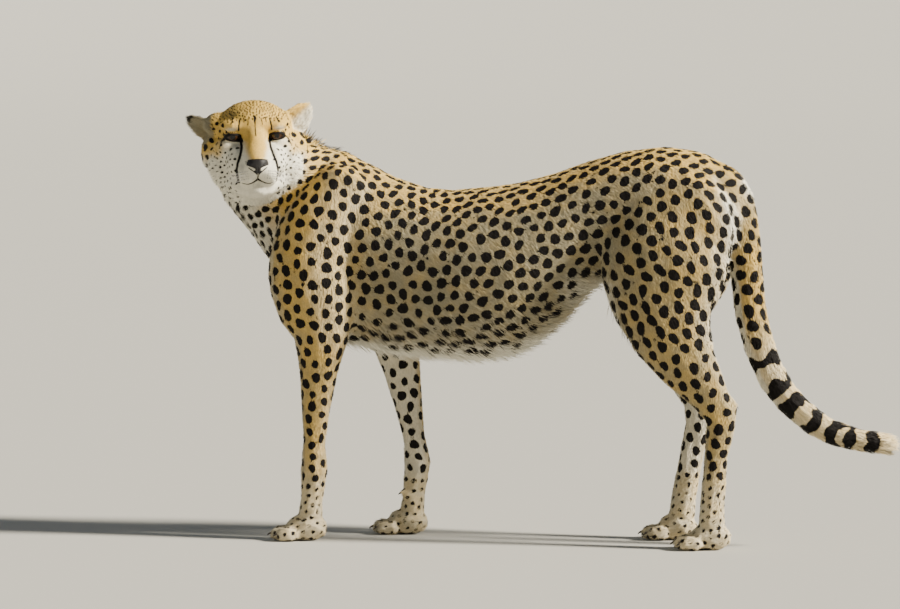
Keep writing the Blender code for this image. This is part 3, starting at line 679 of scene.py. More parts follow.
# Small specks stand in the wider gaps between the spots of the sides.
speck_tries, speck_room, speck_apart, speck_most = 2600.0, 0.0052, 0.016, 0.0036
spot_most = 0.395  # of the distance to the next spot's middle, the most that a spot's radius takes
at = nearest_points(spots)
spot_radius = spot_size[at, 0] * draw.uniform(0.84, 1.16, len(spots))
near = tree_of(spots)
to_next = np.array([near.find_n(place, 2)[1][2] for place in spots.tolist()])
spot_radius = np.minimum(spot_radius, np.where(spot_radius > 0.0030, spot_most * to_next, 1.0))
speckled = is_kind("trunk", "thigh", "upper_arm", "tail") & ~spotless
home, corners = scattered(triangles, points, speck_tries * speckled)
specks, speck_radius = [], []
for place in carried(points, home, corners).tolist():
    room = min(gap - spot_radius[k] for _, k, gap in near.find_n(place, 3))
    apart = min((math.dist(place, other) for other in specks), default=1.0)
    if room > speck_room and apart > speck_apart:
        specks.append(place)
        speck_radius.append(min(speck_most, 0.48 * room))
speck_radius = np.array(speck_radius) * draw.uniform(0.55, 1.0, len(specks))
spots, spot_radius = np.concatenate([spots, specks]), np.concatenate([spot_radius, speck_radius])
at = nearest_points(spots)
spot_normal, spot_lie = hide_normals[at], lie[at]
spot_long = draw.uniform(1.02, 1.34, len(spots)) + 0.22 * rise(0.4, 0.9, spot_normal[:, 2])
spot_long += 0.30 * is_kind("neck")[at] + 0.80 * on_crown[at] + 0.20 * crest[at] + 0.18 * is_kind("thigh")[at]
at_front, low_down = rise(-0.02, -0.20, spots[:, 0]), rise(0.46, 0.40, spots[:, 2])
trunk_way = np.array((1.0, 0.0, 0.55)) * (1 - at_front)[:, None]
trunk_way += np.array((0.10, 0.0, 1.0)) * at_front[:, None]
trunk_way += (np.array((1.0, 0.0, -0.10)) - trunk_way) * low_down[:, None]
on_trunk = is_kind("trunk")[at]
spot_lie[on_trunk] = along_hide(trunk_way, spot_normal)[on_trunk]
on_neck = (is_kind("neck") & (crest < 0.3))[at]
spot_lie[on_neck] = along_hide(np.tile((0.45, 0.0, 0.90), (len(spots), 1)), spot_normal)[on_neck]
turned = draw.normal(0.0, 0.30, len(spots))[:, None]
spot_way = unit(spot_lie * np.cos(turned) + np.cross(spot_normal, spot_lie) * np.sin(turned))
spot_phase = draw.uniform(0, 2 * math.pi, len(spots))
spot_tree = tree_of(spots)

# Black lines of the face in the head's frame, across and up, with half their width at each end in
# millimetres.
face_lines = (
    (tear_line, 2.6, 2.1),
    (mouth_line[1:6], 1.9, 0.5),
    (mouth_line[:2], 1.2, 1.6),
    (((0.0312, 0.0150), (0.0305, 0.0250), (0.0280, 0.0350)), 1.6, 1.5),  # over the eye
    (((0.0005, 0.0060), (-0.0005, 0.0230), (0.0005, 0.0400)), 0.8, 1.9),  # middle of the forehead
    (((0.0450, 0.0280), (0.0410, 0.0370)), 1.2, 1.2),
    (((0.0140, 0.0250), (0.0125, 0.0360)), 0.9, 1.2),
    (((0.0210, 0.0300), (0.0205, 0.0380)), 0.9, 1.1),
    (((0.0575, 0.0010), (0.0640, -0.0070), (0.0680, -0.0180)), 1.2, 1.0),  # behind the eye
)
whisker_rows = [
    (0.0200 + 0.0042 * k - 0.0008 * row, -0.0570 - 0.0046 * row - 0.0008 * k)
    for row in range(4) for k in range(4)
]
tail_rings = (  # from the tip, half the width
    (0.024, 0.0100), (0.062, 0.0120), (0.101, 0.0125), (0.143, 0.0135), (0.190, 0.0140), (0.239, 0.0135),
    (0.288, 0.0125),
)


def black_at(places, in_head, in_tail):
    """How far inside a black marking each place lies, in millimetres, and negative outside."""
    near = np.array([[hit[1] for hit in spot_tree.find_n(place, 4)] for place in places.tolist()])
    offset = places[:, None] - spots[near]
    along = (offset * spot_way[near]).sum(axis=2)
    across = (offset * np.cross(spot_normal, spot_way)[near]).sum(axis=2)
    deep = (offset * spot_normal[near]).sum(axis=2)
    stretch = np.sqrt(spot_long[near])
    apart = np.sqrt((along / stretch) ** 2 + (across * stretch) ** 2 + 0.2 * deep**2)
    angle = np.arctan2(across, along)
    phase = spot_phase[near]
    edge = spot_radius[near] * (1 + 0.08 * np.sin(2 * angle + phase) + 0.06 * np.sin(3 * angle + 2 * phase))
    black = 1000 * (edge - apart).max(axis=1)
    if in_head.any():
        head = to_head(places[in_head])
        folded = np.stack([np.abs(head[:, 0]), head[:, 2]], axis=1)
        lines = np.full(len(head), -9.0)
        for line, first, last in face_lines:
            gap, at = line_distance(folded, line)
            lines = np.maximum(lines, first + (last - first) * at / (len(line) - 1) - 1000 * gap)
        for spot in whisker_rows:
            lines = np.maximum(lines, 0.75 - 1000 * np.linalg.norm(folded - spot, axis=1))
        share = np.minimum(eye_share(head, 1)[1], eye_share(head, -1)[1])
        lines = np.maximum(lines, (1.34 + 0.22 * rise(-0.003, 0.003, head[:, 2] - eye_rise) - share) * 8.0)
        black[in_head] = np.maximum(black[in_head], np.where(head[:, 1] > -0.012, lines, -9.0))
    if in_tail.any():
        tail = places[in_tail]
        left = from_tail_tip(tail)
        around = 110 * (tail[:, 1] - centring[1])
        rings = np.full(len(tail), -9.0)
        for k, (at, half) in enumerate(tail_rings):
            sway = 0.0060 * np.sin(around + 2.1 * k) + 0.0030 * np.sin(2.3 * around + 4 * k)
            swell = 0.30 * np.sin(1.3 * around + 2.7 * k) + 0.22 * np.sin(2.9 * around + 1.3 * k)
            thick = half * (0.95 + swell)
            rings = np.maximum(rings, 1000 * (thick - np.abs(left - at + sway)))
        black[in_tail] = np.maximum(black[in_tail], rings)
    return np.clip(black, -6.0, 6.0)


millimetre_across, millimetre_up = 1000 * across_head, 1000 * along_up
bridge_edge = 23 - 9 * rise(-12, -46, millimetre_up)
white_face = rise(0, -8, millimetre_up) * rise(-15, 12, millimetre_across - bridge_edge)
white_face *= 1 - 0.50 * np.exp(-(((millimetre_across - 54) / 12) ** 2) - (((millimetre_up + 15) / 8) ** 2))
white_face *= 1 - 0.75 * rise(56, 68, millimetre_across) * rise(-48, -26, millimetre_up)
white_face = np.maximum(white_face, rise(-43, -51, millimetre_up))
brow_patch = np.exp(-(((millimetre_across - 43) / 14) ** 2) - (((millimetre_up - 17) / 4.5) ** 2))
white_face = np.maximum(white_face, 0.72 * brow_patch)
under_jaw = hide_normals @ way_from_head((0.0, 0.35, -0.94))
white_face *= 1 - 0.92 * rise(-0.018, -0.052, along_head) * rise(0.45, 0.10, under_jaw)
pale = on_head * white_face
low_ear = owner == flesh_names.index("ear_right")
ear_at = np.median(np.stack([across_head, along_up])[:, is_kind("ear")], axis=1)
ear_low = 0.7 * (across_head - ear_at[0]) - 0.7 * (along_up - ear_at[1])  # to the ear's outer, lower edge
# Painted shade: the right ear, which hangs low, is kept hardly pale inside.
ear_pale = rise(-0.020, 0.006, ear_low) * (1 - low_ear) + 0.12 * low_ear
for share in (
    is_kind("ear") * rise(0.15, 0.65, ear_front) * ear_pale,
    is_kind("trunk") * rise(0.55, 0.92, bottom) * rise(0.62, 0.52, points[:, 2]),
    is_kind("trunk") * 0.28 * rise(0.50, 0.40, points[:, 2]),
    # The pale front of the chest, shoulders and neck is partly the coat's own pale chest and partly painted
    # shade that greys the gold there.
    is_kind("trunk", "upper_arm", "neck") * 0.32 * rise(0.30, 0.85, -rear) * rise(-0.36, -0.42, points[:, 0]),
    is_kind("thigh") * 0.46 * rise(0.25, 0.75, rear), is_kind("upper_arm") * 0.34 * rise(-0.30, 0.20, rear),
    0.74 * throat, 0.50 * fold,
    is_kind("upper_arm", "thigh") * 0.75 * rise(0.0, 0.65, -outer),
    is_kind("forearm", "shank") * np.maximum(0.62 * rise(-0.10, 0.60, -outer), 0.25 * rise(0.2, 0.8, rear)),
    is_kind("forearm", "shank", "forepaw", "hindpaw") * 0.42 * rise(0.26, 0.06, points[:, 2]),
    is_kind("tail") * np.maximum(0.12 + 0.30 * rise(0.40, 0.30, tail_left), 0.85 * rise(0.1, 0.8, -rear)),
    seat * rise(0.085, 0.060, np.abs(points[:, 1] - centring[1])),
):
    pale = np.maximum(pale, share)
# Shares of golden colour by part. The trunk and thigh shares are kept low as painted shade, so the flank and
# thighs come out greyer than the neck and shoulders.
golden = {
    "head": 0.90, "nose": 0.9, "ear": 0.70, "neck": 0.90, "trunk": 0.16, "tail": 0.62, "upper_arm": 0.66,
    "thigh": 0.28, "forearm": 0.55, "shank": 0.45, "forepaw": 0.50, "hindpaw": 0.50,
}
warm_and_painted_light = spread(np.array([golden[name] for name in kinds])[kind][:, None], edges, 110)[:, 0]
# More golden on top of the body: partly the coat's own colour, partly painted sunlight.
warm_and_painted_light = warm_and_painted_light + 0.45 * rise(0.35, 0.85, top) * is_kind("trunk", "thigh", "upper_arm", "tail")
# Painted sunlight: the rear of the trunk and the thighs, over the croup and haunches, is more golden.
warm_and_painted_light = warm_and_painted_light + 0.20 * rise(0.15, 0.35, points[:, 0]) * is_kind("trunk", "thigh")
# Painted shade: the left side of the trunk and thighs is kept greyer than the right.
warm_and_painted_light = warm_and_painted_light + 0.34 * rise(-0.02, 0.08, points[:, 1] - centring[1]) * is_kind("trunk", "thigh")
# Painted shade: the right ear is made far less golden.
warm_and_painted_light *= 1 - 0.85 * low_ear
# Painted shade: forward-facing surfaces below the head are made much less golden.
warm_and_painted_light = np.clip(warm_and_painted_light * (1 - 0.55 * rise(0.30, 0.85, -rear) * (1 - on_head)), 0, 1)
pale = spread(pale[:, None], edges, 8)[:, 0]
black = black_at(points, on_head, is_kind("tail"))
# Painted shade inside the right ear: black towards its tip and near its root. The black of the ears' backs is
# their own colour.
low_ear_painted_shade = rise(0.72, 0.90, ear_reach) + rise(0.42, 0.10, ear_reach) * rise(0.010, -0.006, ear_low)
low_ear_painted_shade = low_ear * rise(0.2, 0.6, ear_front) * low_ear_painted_shade
ear_black_and_painted_shade = is_kind("ear") * np.maximum(rise(-0.25, -0.65, ear_front), low_ear_painted_shade)
black = np.maximum(black, np.where(is_kind("ear"), 8 * (ear_black_and_painted_shade - 0.5), -20.0))
black = np.maximum(black, np.where(bare, 6.0, -6.0))


def attribute(mesh, name, values):
    """One number kept at each of a mesh's points, for its finish to read."""
    kept = mesh.attributes.new(name, "FLOAT", "POINT")
    kept.data.foreach_set("value", np.ascontiguousarray(values, np.float32))


for name, values in (("black", black), ("pale", pale), ("warm_and_painted_light", warm_and_painted_light)):
    attribute(hide.data, name, values)


def new_finish(name, settings):
    """A new finish, its node tree, and its main surface with some inputs set."""
    finish = bpy.data.materials.new(name)
    finish.use_nodes = True
    surface = finish.node_tree.nodes["Principled BSDF"]
    for socket, value in settings.items():
        surface.inputs[socket].default_value = value
    return finish, finish.node_tree, surface


def put(tree, socket, value):
    """An input given a value, or joined to another node's output."""
    if isinstance(value, bpy.types.NodeSocket):
        tree.links.new(value, socket)
    else:
        socket.default_value = value


def added(tree, kind, inputs, **choices):
    """A new node of a finish, its choices made first and then its inputs filled."""
    node = tree.nodes.new(f"ShaderNode{kind}")
    for choice, value in choices.items():
        setattr(node, choice, value)
    for socket, value in inputs.items():
        put(tree, node.inputs[socket], value)
    return node


def ramped(tree, share, stops):
    """The colour at a share along a row of stops, each with its place on the row."""
    node = added(tree, "ValToRGB", {"Fac": share})
    while len(node.color_ramp.elements) < len(stops):
        node.color_ramp.elements.new(0.5)
    for element, (at, colour) in zip(node.color_ramp.elements, stops):
        element.position, element.color = at, (*colour, 1)
    return node.outputs["Color"]


def fur_finish(name, on_hide):
    """The coat's colours: tawny to buff, white where it is pale, and black inside the markings."""
    roughness = 0.82 if on_hide else 0.68
    finish, tree, skin = new_finish(name, {"Roughness": roughness, "Specular IOR Level": 0.20})

    def read(kept):
        return added(tree, "Attribute", {}, attribute_name=kept).outputs["Fac"]

    def worked(operation, *values):
        return added(tree, "Math", dict(enumerate(values)), operation=operation).outputs[0]

    def sum_of(a, b, factor=1.0):
        return worked("MULTIPLY_ADD", b, factor, a)

    def noise(scale, detail=2.0):
        where = added(tree, "TexCoord", {}).outputs["Object"]
        return added(tree, "TexNoise", {"Vector": where, "Scale": scale, "Detail": detail}).outputs["Fac"]

    def step(value, low, high, first=0.0, last=1.0):
        inputs = {"Value": value, "From Min": low, "From Max": high, "To Min": first, "To Max": last}
        return added(tree, "MapRange", inputs, interpolation_type="SMOOTHSTEP").outputs["Result"]

    def mixed(share, first, second, blend="MIX"):
        inputs = {"Factor": share, "A": first, "B": second}
        return added(tree, "Mix", inputs, data_type="RGBA", blend_type=blend).outputs["Result"]

    # The golden share holds painted sunlight and painted shade as well as the coat's own colour.
    warm_share = step(sum_of(read("warm_and_painted_light"), noise(34.0), 0.7), 0.35, 1.35)
    colour = mixed(warm_share, (0.330, 0.292, 0.190, 1), (0.770, 0.505, 0.118, 1))
    pale_share = step(sum_of(read("pale"), noise(95.0), 0.22), 0.16, 1.0)
    colour = mixed(pale_share, colour, (0.850, 0.810, 0.670, 1))
    edge = sum_of(read("black"), noise(420.0), 1.6)
    black_share = step(edge, 0.25, 1.35)
    if on_hide:
        shade = step(noise(700.0, 3.0), 0.3, 0.7, 0.72, 1.0)
    else:
        shade = sum_of(step(read("along"), 0.0, 1.0, 0.66, 0.92), read("tone"), 0.26)
        tip = worked("MULTIPLY", read("dark_tip"), step(read("along"), 0.30, 0.60))
        black_share = worked("MAXIMUM", black_share, tip)
    grey = added(tree, "CombineColor", {0: shade, 1: shade, 2: shade})
    colour = mixed(1.0, colour, grey.outputs[0], "MULTIPLY")
    colour = mixed(black_share, colour, (0.006, 0.0045, 0.004, 1))
    put(tree, skin.inputs["Base Color"], colour)
    if on_hide:
        bump = added(tree, "Bump", {"Strength": 0.5, "Distance": 0.0008, "Height": noise(900.0, 3.0)})
        put(tree, skin.inputs["Normal"], bump.outputs["Normal"])
    return finish


hide.data.materials.append(fur_finish("hide_under_the_coat", True))
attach(hide, "root")
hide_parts(*(name for name in flesh_names if name != "nose"))

# ---- coat --------------------------------------------------------------------------------------------------
# The coat is short hair in thin tufts that lie back over one another. Each tuft is a slim closed blade with
# its root in the hide, and it takes its markings from the place of its root. The coat is made in ten pieces
# that meet.

tuft_finish = fur_finish("tufted_coat", False)
blade_faces = np.array(((0, 1, 3), (0, 3, 2), (0, 2, 1), (4, 3, 1), (4, 2, 3), (4, 1, 2)))
blade_patch = 0.0015 * np.array(((0, -1), (-1, 0), (1, 0), (0, 0), (0, 1)))
blade_along = np.array((0.0, 0.45, 0.45, 0.5, 1.0))
long_faces = np.array((
    (0, 1, 3), (0, 3, 2), (0, 2, 1), (1, 4, 6), (1, 6, 3), (3, 6, 5), (3, 5, 2), (2, 5, 4), (2, 4, 1),
    (7, 6, 4), (7, 5, 6), (7, 4, 5),
))
long_patch = 0.0015 * np.array((
    (0, -1), (-1, -0.3), (1, -0.3), (0, -0.3), (-0.7, 0.4), (0.7, 0.4), (0, 0.4), (0, 1),
))
long_along = np.array((0.0, 0.30, 0.30, 0.30, 0.66, 0.66, 0.66, 1.0))
finest_hair = 0.0002


def unwrapped(chosen):
    """The chosen triangles of the hide laid out flat in the unit square, as three corners for each."""
    used, renamed = np.unique(triangles[chosen], return_inverse=True)
    sheet = piece_of("sheet", mesh_of("sheet", points[used], renamed.reshape(-1, 3)))
    sheet.data.uv_layers.new(name="flat")
    bpy.ops.object.select_all(action="DESELECT")
    bpy.context.view_layer.objects.active = sheet
    sheet.select_set(True)
    bpy.ops.object.mode_set(mode="EDIT")
    bpy.ops.mesh.select_all(action="SELECT")
    bpy.ops.uv.smart_project(angle_limit=math.radians(72), island_margin=0.006)
    bpy.ops.object.mode_set(mode="OBJECT")
    flat = np.empty(len(sheet.data.loops) * 2, np.float32)
    sheet.data.uv_layers["flat"].data.foreach_get("uv", flat)
    bpy.data.objects.remove(sheet)
    return flat.reshape(-1, 3, 2).astype(float)


def tufts(name, chosen, long=False, dark=0.0):
    """A piece of the coat, rooted on the chosen triangles. dark is how black the tufts' tips are."""
    density = np.where(np.isin(np.arange(len(points)), triangles[chosen]), cover[:, 3], 0.0)
    home, corners = scattered(triangles[chosen], points, density)
    flat = unwrapped(chosen)
    patch = np.clip((flat[home] * corners[:, :, None]).sum(axis=1), 0.003, 0.997)
    home = chosen[home]
    root = carried(points, home, corners)
    up = unit(carried(hide_normals, home, corners))
    way = along_hide(carried(lie, home, corners), up)
    length, width, lift, _ = carried(cover, home, corners).T
    in_head, in_tail = on_head[triangles[home, 0]], is_kind("tail")[triangles[home, 0]]
    count = len(root)
    length = length * draw.uniform(0.72, 1.22, count)
    width = np.maximum(width * draw.uniform(0.75, 1.20, count), finest_hair)
    lift = lift * draw.uniform(0.55, 1.45, count)
    swing = draw.normal(0.0, 0.15, count)[:, None]
    side = np.cross(up, way)
    way = way * np.cos(swing) + side * np.sin(swing)
    side = np.cross(up, way)
    length, width, lift = length[:, None], width[:, None], lift[:, None]
    sunk = root - up * 0.0006

    def ring(at, high, wide):
        """The two edges and the ridge of a tuft, at a share of its length."""
        heart = root + way * length * at + up * length * lift * high
        half = side * width * wide / 2
        return heart - half, heart + half, heart + up * width * wide * 0.42

    tip_place = root + way * length + up * length * lift * (1.15 if long else 0.85)
    if long:
        shape = (sunk, *ring(0.30, 0.42, 1.0), *ring(0.66, 0.82, 0.8), tip_place)
        faces, spots_of_patch, height = long_faces, long_patch, long_along
    else:
        shape = (sunk, *ring(0.42, 0.62, 1.0), tip_place)
        faces, spots_of_patch, height = blade_faces, blade_patch, blade_along
    shape = np.stack(shape, axis=1)
    shape[..., 2] = np.maximum(shape[..., 2], 0.0002)
    corners_each = shape.shape[1]
    all_faces = (faces[None] + corners_each * np.arange(count)[:, None, None]).reshape(-1, 3)
    mesh = mesh_of(name, shape.reshape(-1, 3), all_faces)
    made = piece_of(name, mesh, tuft_finish)
    mesh.shade_smooth()
    bake = mesh.uv_layers.new(name="OFBake")
    places_on_map = (patch[:, None] + spots_of_patch[None]).reshape(-1, 2)
    bake.data.foreach_set("uv", places_on_map[all_faces.ravel()].astype(np.float32).ravel())
    area = carried(area_black, home, corners) + draw.normal(0.0, 0.45, count)
    marked = [
        np.maximum(black_at(root + way * length * at, in_head, in_tail) + draw.normal(0.0, 0.4, count), area)
        for at in (0.10, 0.46, 0.90)
    ]
    stages = np.searchsorted((0.2, 0.6), height)
    attribute(mesh, "black", np.stack(marked, axis=1)[:, stages].ravel())
    for key, values in (
        ("pale", carried(pale, home, corners)), ("warm_and_painted_light", carried(warm_and_painted_light, home, corners)),
        ("tone", draw.random(count)), ("dark_tip", np.full(count, dark) * (draw.random(count) < 0.9)),
    ):
        attribute(mesh, key, np.repeat(values, corners_each))
    attribute(mesh, "along", np.tile(height, count))
    own = normals_of(shape.reshape(-1, 3), all_faces)
    soft = unit(0.55 * own + 0.80 * np.repeat(up, corners_each, axis=0))
    mesh.normals_split_custom_set_from_vertices(soft.astype(np.float32))
    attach(made, "root")


area_black = np.where(is_kind("ear"), 8 * (ear_black_and_painted_shade - 0.5), -6.0)
triangle_owner, triangle_face = owner[triangles[:, 0]], on_face[triangles[:, 0]] > 0.5
hide_side = body_side[triangles[:, 0]]
owner_words = np.array(flesh_names)[triangle_owner]


def triangles_on(*words, face=None, side=None):
    """The hide's triangles over the nodes whose names start with one of these words."""
    found = np.zeros(len(triangles), bool)
    for word in words:
        found |= np.char.startswith(owner_words, word)
    if face is not None:
        found &= triangle_face == face
    if side is not None:
        found &= hide_side == side
    return np.flatnonzero(found)


tufts("coat_face", triangles_on("head", "nose", face=True))
tufts("coat_head", triangles_on("head", "nose", "ear", face=False))
tufts("coat_neck", triangles_on("neck"))
tufts("coat_tail", triangles_on("tail"))
legs = (("foreleg", ("upper_arm", "forearm", "forepaw")), ("hindleg", ("thigh", "shank", "hindpaw")))
for side_name, side in (("left", -1), ("right", 1)):
    tufts(f"coat_trunk_{side_name}", triangles_on("trunk", side=side))
    for leg, lengths in legs:
        tufts(f"coat_{leg}_{side_name}", triangles_on(*(f"{length}_{side_name}" for length in lengths)))


# The mane is a crest of longer, dark-tipped hair that stands up along the nape and over the shoulders.
plain = cover.copy()
for column, value in enumerate((0.0310, 0.0024, 0.68, 30e3)):
    toward(column, crest, value)
cover[:, 3] = 240e3 * crest
tufts("mane", np.flatnonzero(crest[triangles].max(axis=1) > 0.05), long=True, dark=0.95)
cover = plain
shag = np.maximum(belly, fold) * rise(0.2, 0.6, bottom)
cover[:, 0], cover[:, 2], cover[:, 3] = 0.026, 0.42, 26e3 * shag
tufts("coat_belly", np.flatnonzero(shag[triangles].max(axis=1) > 0.05), long=True)

# ---- nose --------------------------------------------------------------------------------------------------
# The nose is a pad of bare black leather on the muzzle's end, with a fine pebbled grain. It is wide at the
# top, narrows to the groove of the upper lip, and a comma-shaped nostril opens into it on each side.

nose_rows = (  # up, half the width
    (-0.0655, 0.0018), (-0.0620, 0.0046), (-0.0575, 0.0102), (-0.0525, 0.0168), (-0.0475, 0.0220),
    (-0.0430, 0.0244), (-0.0395, 0.0236), (-0.0362, 0.0194), (-0.0340, 0.0105),
)
nose_across, nose_up = 49, 41
nostril = np.array(((0.0075, -0.0535), (0.0110, -0.0510), (0.0150, -0.0490), (0.0188, -0.0478)))
rows = np.linspace(nose_rows[0][0], nose_rows[-1][0], nose_up)
half = np.interp(rows, [row[0] for row in nose_rows], [row[1] for row in nose_rows])
share = np.linspace(-1, 1, nose_across)
grid = np.zeros((nose_up, nose_across, 3))
grid[..., 0], grid[..., 2] = share[None] * half[:, None], rows[:, None]
looking = Vector(way_from_head((0.0, -1.0, 0.0)))
for row in grid:
    for place in row:
        hit = hide_tree.ray_cast(Vector(from_head((place[0], 0.16, place[2]))), looking)[0]
        place[1] = to_head(np.array(hit)[None])[0, 1] if hit else 0.080
from_edge = (1 - np.abs(share[None]) ** 5) * rise(-0.06, 0.10, np.linspace(0, 1, nose_up))[:, None]
from_edge *= rise(1.05, 0.90, np.linspace(0, 1, nose_up))[:, None]
lifted = -0.0012 + 0.0034 * np.sqrt(np.clip(from_edge, 0, 1))
folded = np.stack([np.abs(grid[..., 0]), grid[..., 2]], axis=-1).reshape(-1, 2)
gap, along = line_distance(folded, nostril)
pit = 0.0052 * np.exp(-((gap / (0.0024 - 0.0004 * along)) ** 2)) * (1 - 0.2 * along)
gap, _ = line_distance(folded, np.array(((0.0135, -0.0455), (0.0190, -0.0440))))
wing = 0.0012 * np.exp(-((gap / 0.0022) ** 2))
cleft = 0.0011 * np.exp(-((folded[:, 0] / 0.0011) ** 2)) * rise(-0.046, -0.054, folded[:, 1])
grid[..., 1] += lifted + (wing - pit - cleft).reshape(nose_up, nose_across)
front_layer = grid.reshape(-1, 3)
back_layer = front_layer * (0.96, 1.0, 1.0) - (0.0, 0.0080, 0.0)
k, j = np.meshgrid(np.arange(nose_up - 1), np.arange(nose_across - 1), indexing="ij")
a, b, c, d = (((k + i) * nose_across + j + m).ravel() for i, m in ((0, 0), (0, 1), (1, 1), (1, 0)))
sheet = np.concatenate([np.stack([a, b, c], 1), np.stack([a, c, d], 1)])
rim = np.concatenate([
    np.arange(nose_across), np.arange(1, nose_up) * nose_across + nose_across - 1,
    (nose_up - 1) * nose_across + np.arange(nose_across - 2, -1, -1),
    np.arange(nose_up - 2, 0, -1) * nose_across,
])
after, under = np.roll(rim, -1), len(front_layer)
wall = np.concatenate([
    np.stack([rim, rim + under, after + under], 1), np.stack([rim, after + under, after], 1),
])
nose_points = from_head(np.concatenate([front_layer, back_layer]))
nose_faces = np.concatenate([sheet, sheet[:, ::-1] + under, wall])
nose_faces = outward(nose_points, nose_faces)
nose_leather, tree, skin = new_finish("nose_leather", {"Roughness": 0.50, "Specular IOR Level": 0.28})
where = added(tree, "TexCoord", {}).outputs["Object"]
grain = added(tree, "TexVoronoi", {"Scale": 1100.0, "Vector": where}).outputs["Distance"]
mottle = added(tree, "TexNoise", {"Scale": 160.0, "Vector": where}).outputs["Fac"]
blacks = {"A": (0.006, 0.006, 0.006, 1), "B": (0.019, 0.017, 0.017, 1), "Factor": mottle}
put(tree, skin.inputs["Base Color"], added(tree, "Mix", blacks, data_type="RGBA").outputs["Result"])
bump = added(tree, "Bump", {"Strength": 0.35, "Distance": 0.0004, "Height": grain})
put(tree, skin.inputs["Normal"], bump.outputs["Normal"])
nose = piece_of("nose_pad", mesh_of("nose_pad", nose_points, nose_faces), nose_leather)
nose.data.shade_smooth()
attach(nose, "root")
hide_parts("nose")

# ---- eyes --------------------------------------------------------------------------------------------------
# Each eye is a moist ball with a clear bulge over the iris. The iris is dark brown with fine spokes and a
# dark rim, round a black pupil, and the white is brown and hardly shows between the lids.

eye_finish, tree, ball = new_finish("eye_moist", {
    "Roughness": 0.10, "Specular IOR Level": 0.22, "Coat Weight": 0.25, "Coat Roughness": 0.03,
})
from_gaze = added(tree, "Attribute", {}, attribute_name="from_gaze").outputs["Fac"]
spokes = added(tree, "Attribute", {}, attribute_name="iris_way").outputs["Vector"]
streaks = added(tree, "TexNoise", {"Scale": 9.0, "Detail": 3.0, "Vector": spokes}).outputs["Fac"]
wander = added(tree, "Math", {0: streaks, 1: 0.16, 2: -0.08}, operation="MULTIPLY_ADD").outputs[0]
total = added(tree, "Math", {0: from_gaze, 1: wander}).outputs[0]
iris_bands = (  # share of the iris's radius on the ramp, colour
    (0.00, (0.004, 0.003, 0.003)), (0.39, (0.004, 0.003, 0.003)), (0.44, (0.040, 0.017, 0.007)),
    (0.62, (0.032, 0.014, 0.006)), (0.80, (0.016, 0.008, 0.005)), (0.90, (0.008, 0.005, 0.004)),
    (1.00, (0.020, 0.012, 0.008)),
)
put(tree, ball.inputs["Base Color"], ramped(tree, total, iris_bands))

iris_reach, ball_rings, ball_spokes = 0.0108, 40, 56
for side_name, side in (("left", 1), ("right", -1)):
    gaze = unit(np.array((-0.05, 1.0, -0.10)))
    level = unit(np.cross(gaze, (0.0, 0.0, 1.0)))
    upright = np.cross(level, gaze)
    turns = np.linspace(0, math.pi, ball_rings + 1)[1:-1]
    swings = np.linspace(0, 2 * math.pi, ball_spokes, endpoint=False)
    turn, swing = np.meshgrid(turns, swings, indexing="ij")
    ways = np.cos(turn)[..., None] * gaze + np.sin(turn)[..., None] * (
        np.cos(swing)[..., None] * level + np.sin(swing)[..., None] * upright
    )
    ways = np.concatenate([gaze[None], ways.reshape(-1, 3), -gaze[None]])
    turned = np.concatenate([[0.0], turn.ravel(), [math.pi]])
    bulge = 0.0009 * rise(0.75, 0.30, turned)
    ball_points = (side * eye_spread, 0.0, eye_rise) + ways * (ball_radius - 0.0002 + bulge)[:, None]
    around, last = np.arange(ball_spokes), len(ball_points) - 1
    beyond, outermost = (around + 1) % ball_spokes, last - ball_spokes
    ball_faces = np.concatenate([
        band(ball_rings - 1, ball_spokes, first=1),
        np.stack([0 * around, 1 + beyond, 1 + around], 1),
        np.stack([0 * around + last, outermost + around, outermost + beyond], 1),
    ])
    placed = from_head(ball_points)
    mesh = mesh_of(f"eyeball_{side_name}", placed, outward(placed, ball_faces))
    mesh.shade_smooth()
    off_gaze = np.sin(np.minimum(turned, math.pi / 2)) * ball_radius
    attribute(mesh, "from_gaze", np.clip(off_gaze / iris_reach * 0.9, 0, 1))
    way_kept = mesh.attributes.new("iris_way", "FLOAT_VECTOR", "POINT")
    spoke_way = np.stack([ways @ level, ways @ upright], axis=1)
    spoke_way = np.concatenate([unit(spoke_way), 0.15 * turned[:, None]], axis=1)
    way_kept.data.foreach_set("vector", spoke_way.astype(np.float32).ravel())
    eyeball = piece_of(f"eyeball_{side_name}", mesh, eye_finish)
    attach(eyeball, "root")
    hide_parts(f"eye_{side_name}")

# ---- claws -------------------------------------------------------------------------------------------------
# Each toe has a blunt curved claw of dark horn, paler towards its root, that comes out of the fur and bends
# down to the ground. A cheetah's claws stay out. The dewclaw sits higher on the inside of each forefoot.

claw_finish, tree, horn = new_finish("claw_horn", {"Roughness": 0.36})
where = added(tree, "TexCoord", {}).outputs["Object"]
ribs = added(tree, "TexNoise", {"Scale": 420.0, "Detail": 3.0, "Vector": where}).outputs["Fac"]
along_claw = added(tree, "Attribute", {}, attribute_name="along").outputs["Fac"]
mottled = added(tree, "Math", {0: ribs, 1: 0.5, 2: along_claw}, operation="MULTIPLY_ADD").outputs[0]
horn_shades = ((0.25, (0.20, 0.155, 0.11)), (0.95, (0.035, 0.028, 0.022)))
put(tree, horn.inputs["Base Color"], ramped(tree, mottled, horn_shades))
bump = added(tree, "Bump", {"Strength": 0.25, "Distance": 0.0003, "Height": ribs})
put(tree, horn.inputs["Normal"], bump.outputs["Normal"])

claw_rings, claw_sides, claw_bend = 10, 14, 1.05
claw_radius = 0.0031


def rod(path, heading, aside, radius, sides, width=1.0):
    """Rings of points along a bent rod, whose width lies aside and is a share of its height."""
    over = np.cross(heading, aside)[:, None]
    turns = np.linspace(0, 2 * math.pi, sides, endpoint=False)[None, :, None]
    section = width * np.cos(turns) * aside[:, None] + np.sin(turns) * over
    return (path[:, None] + radius[:, None, None] * section).reshape(-1, 3)


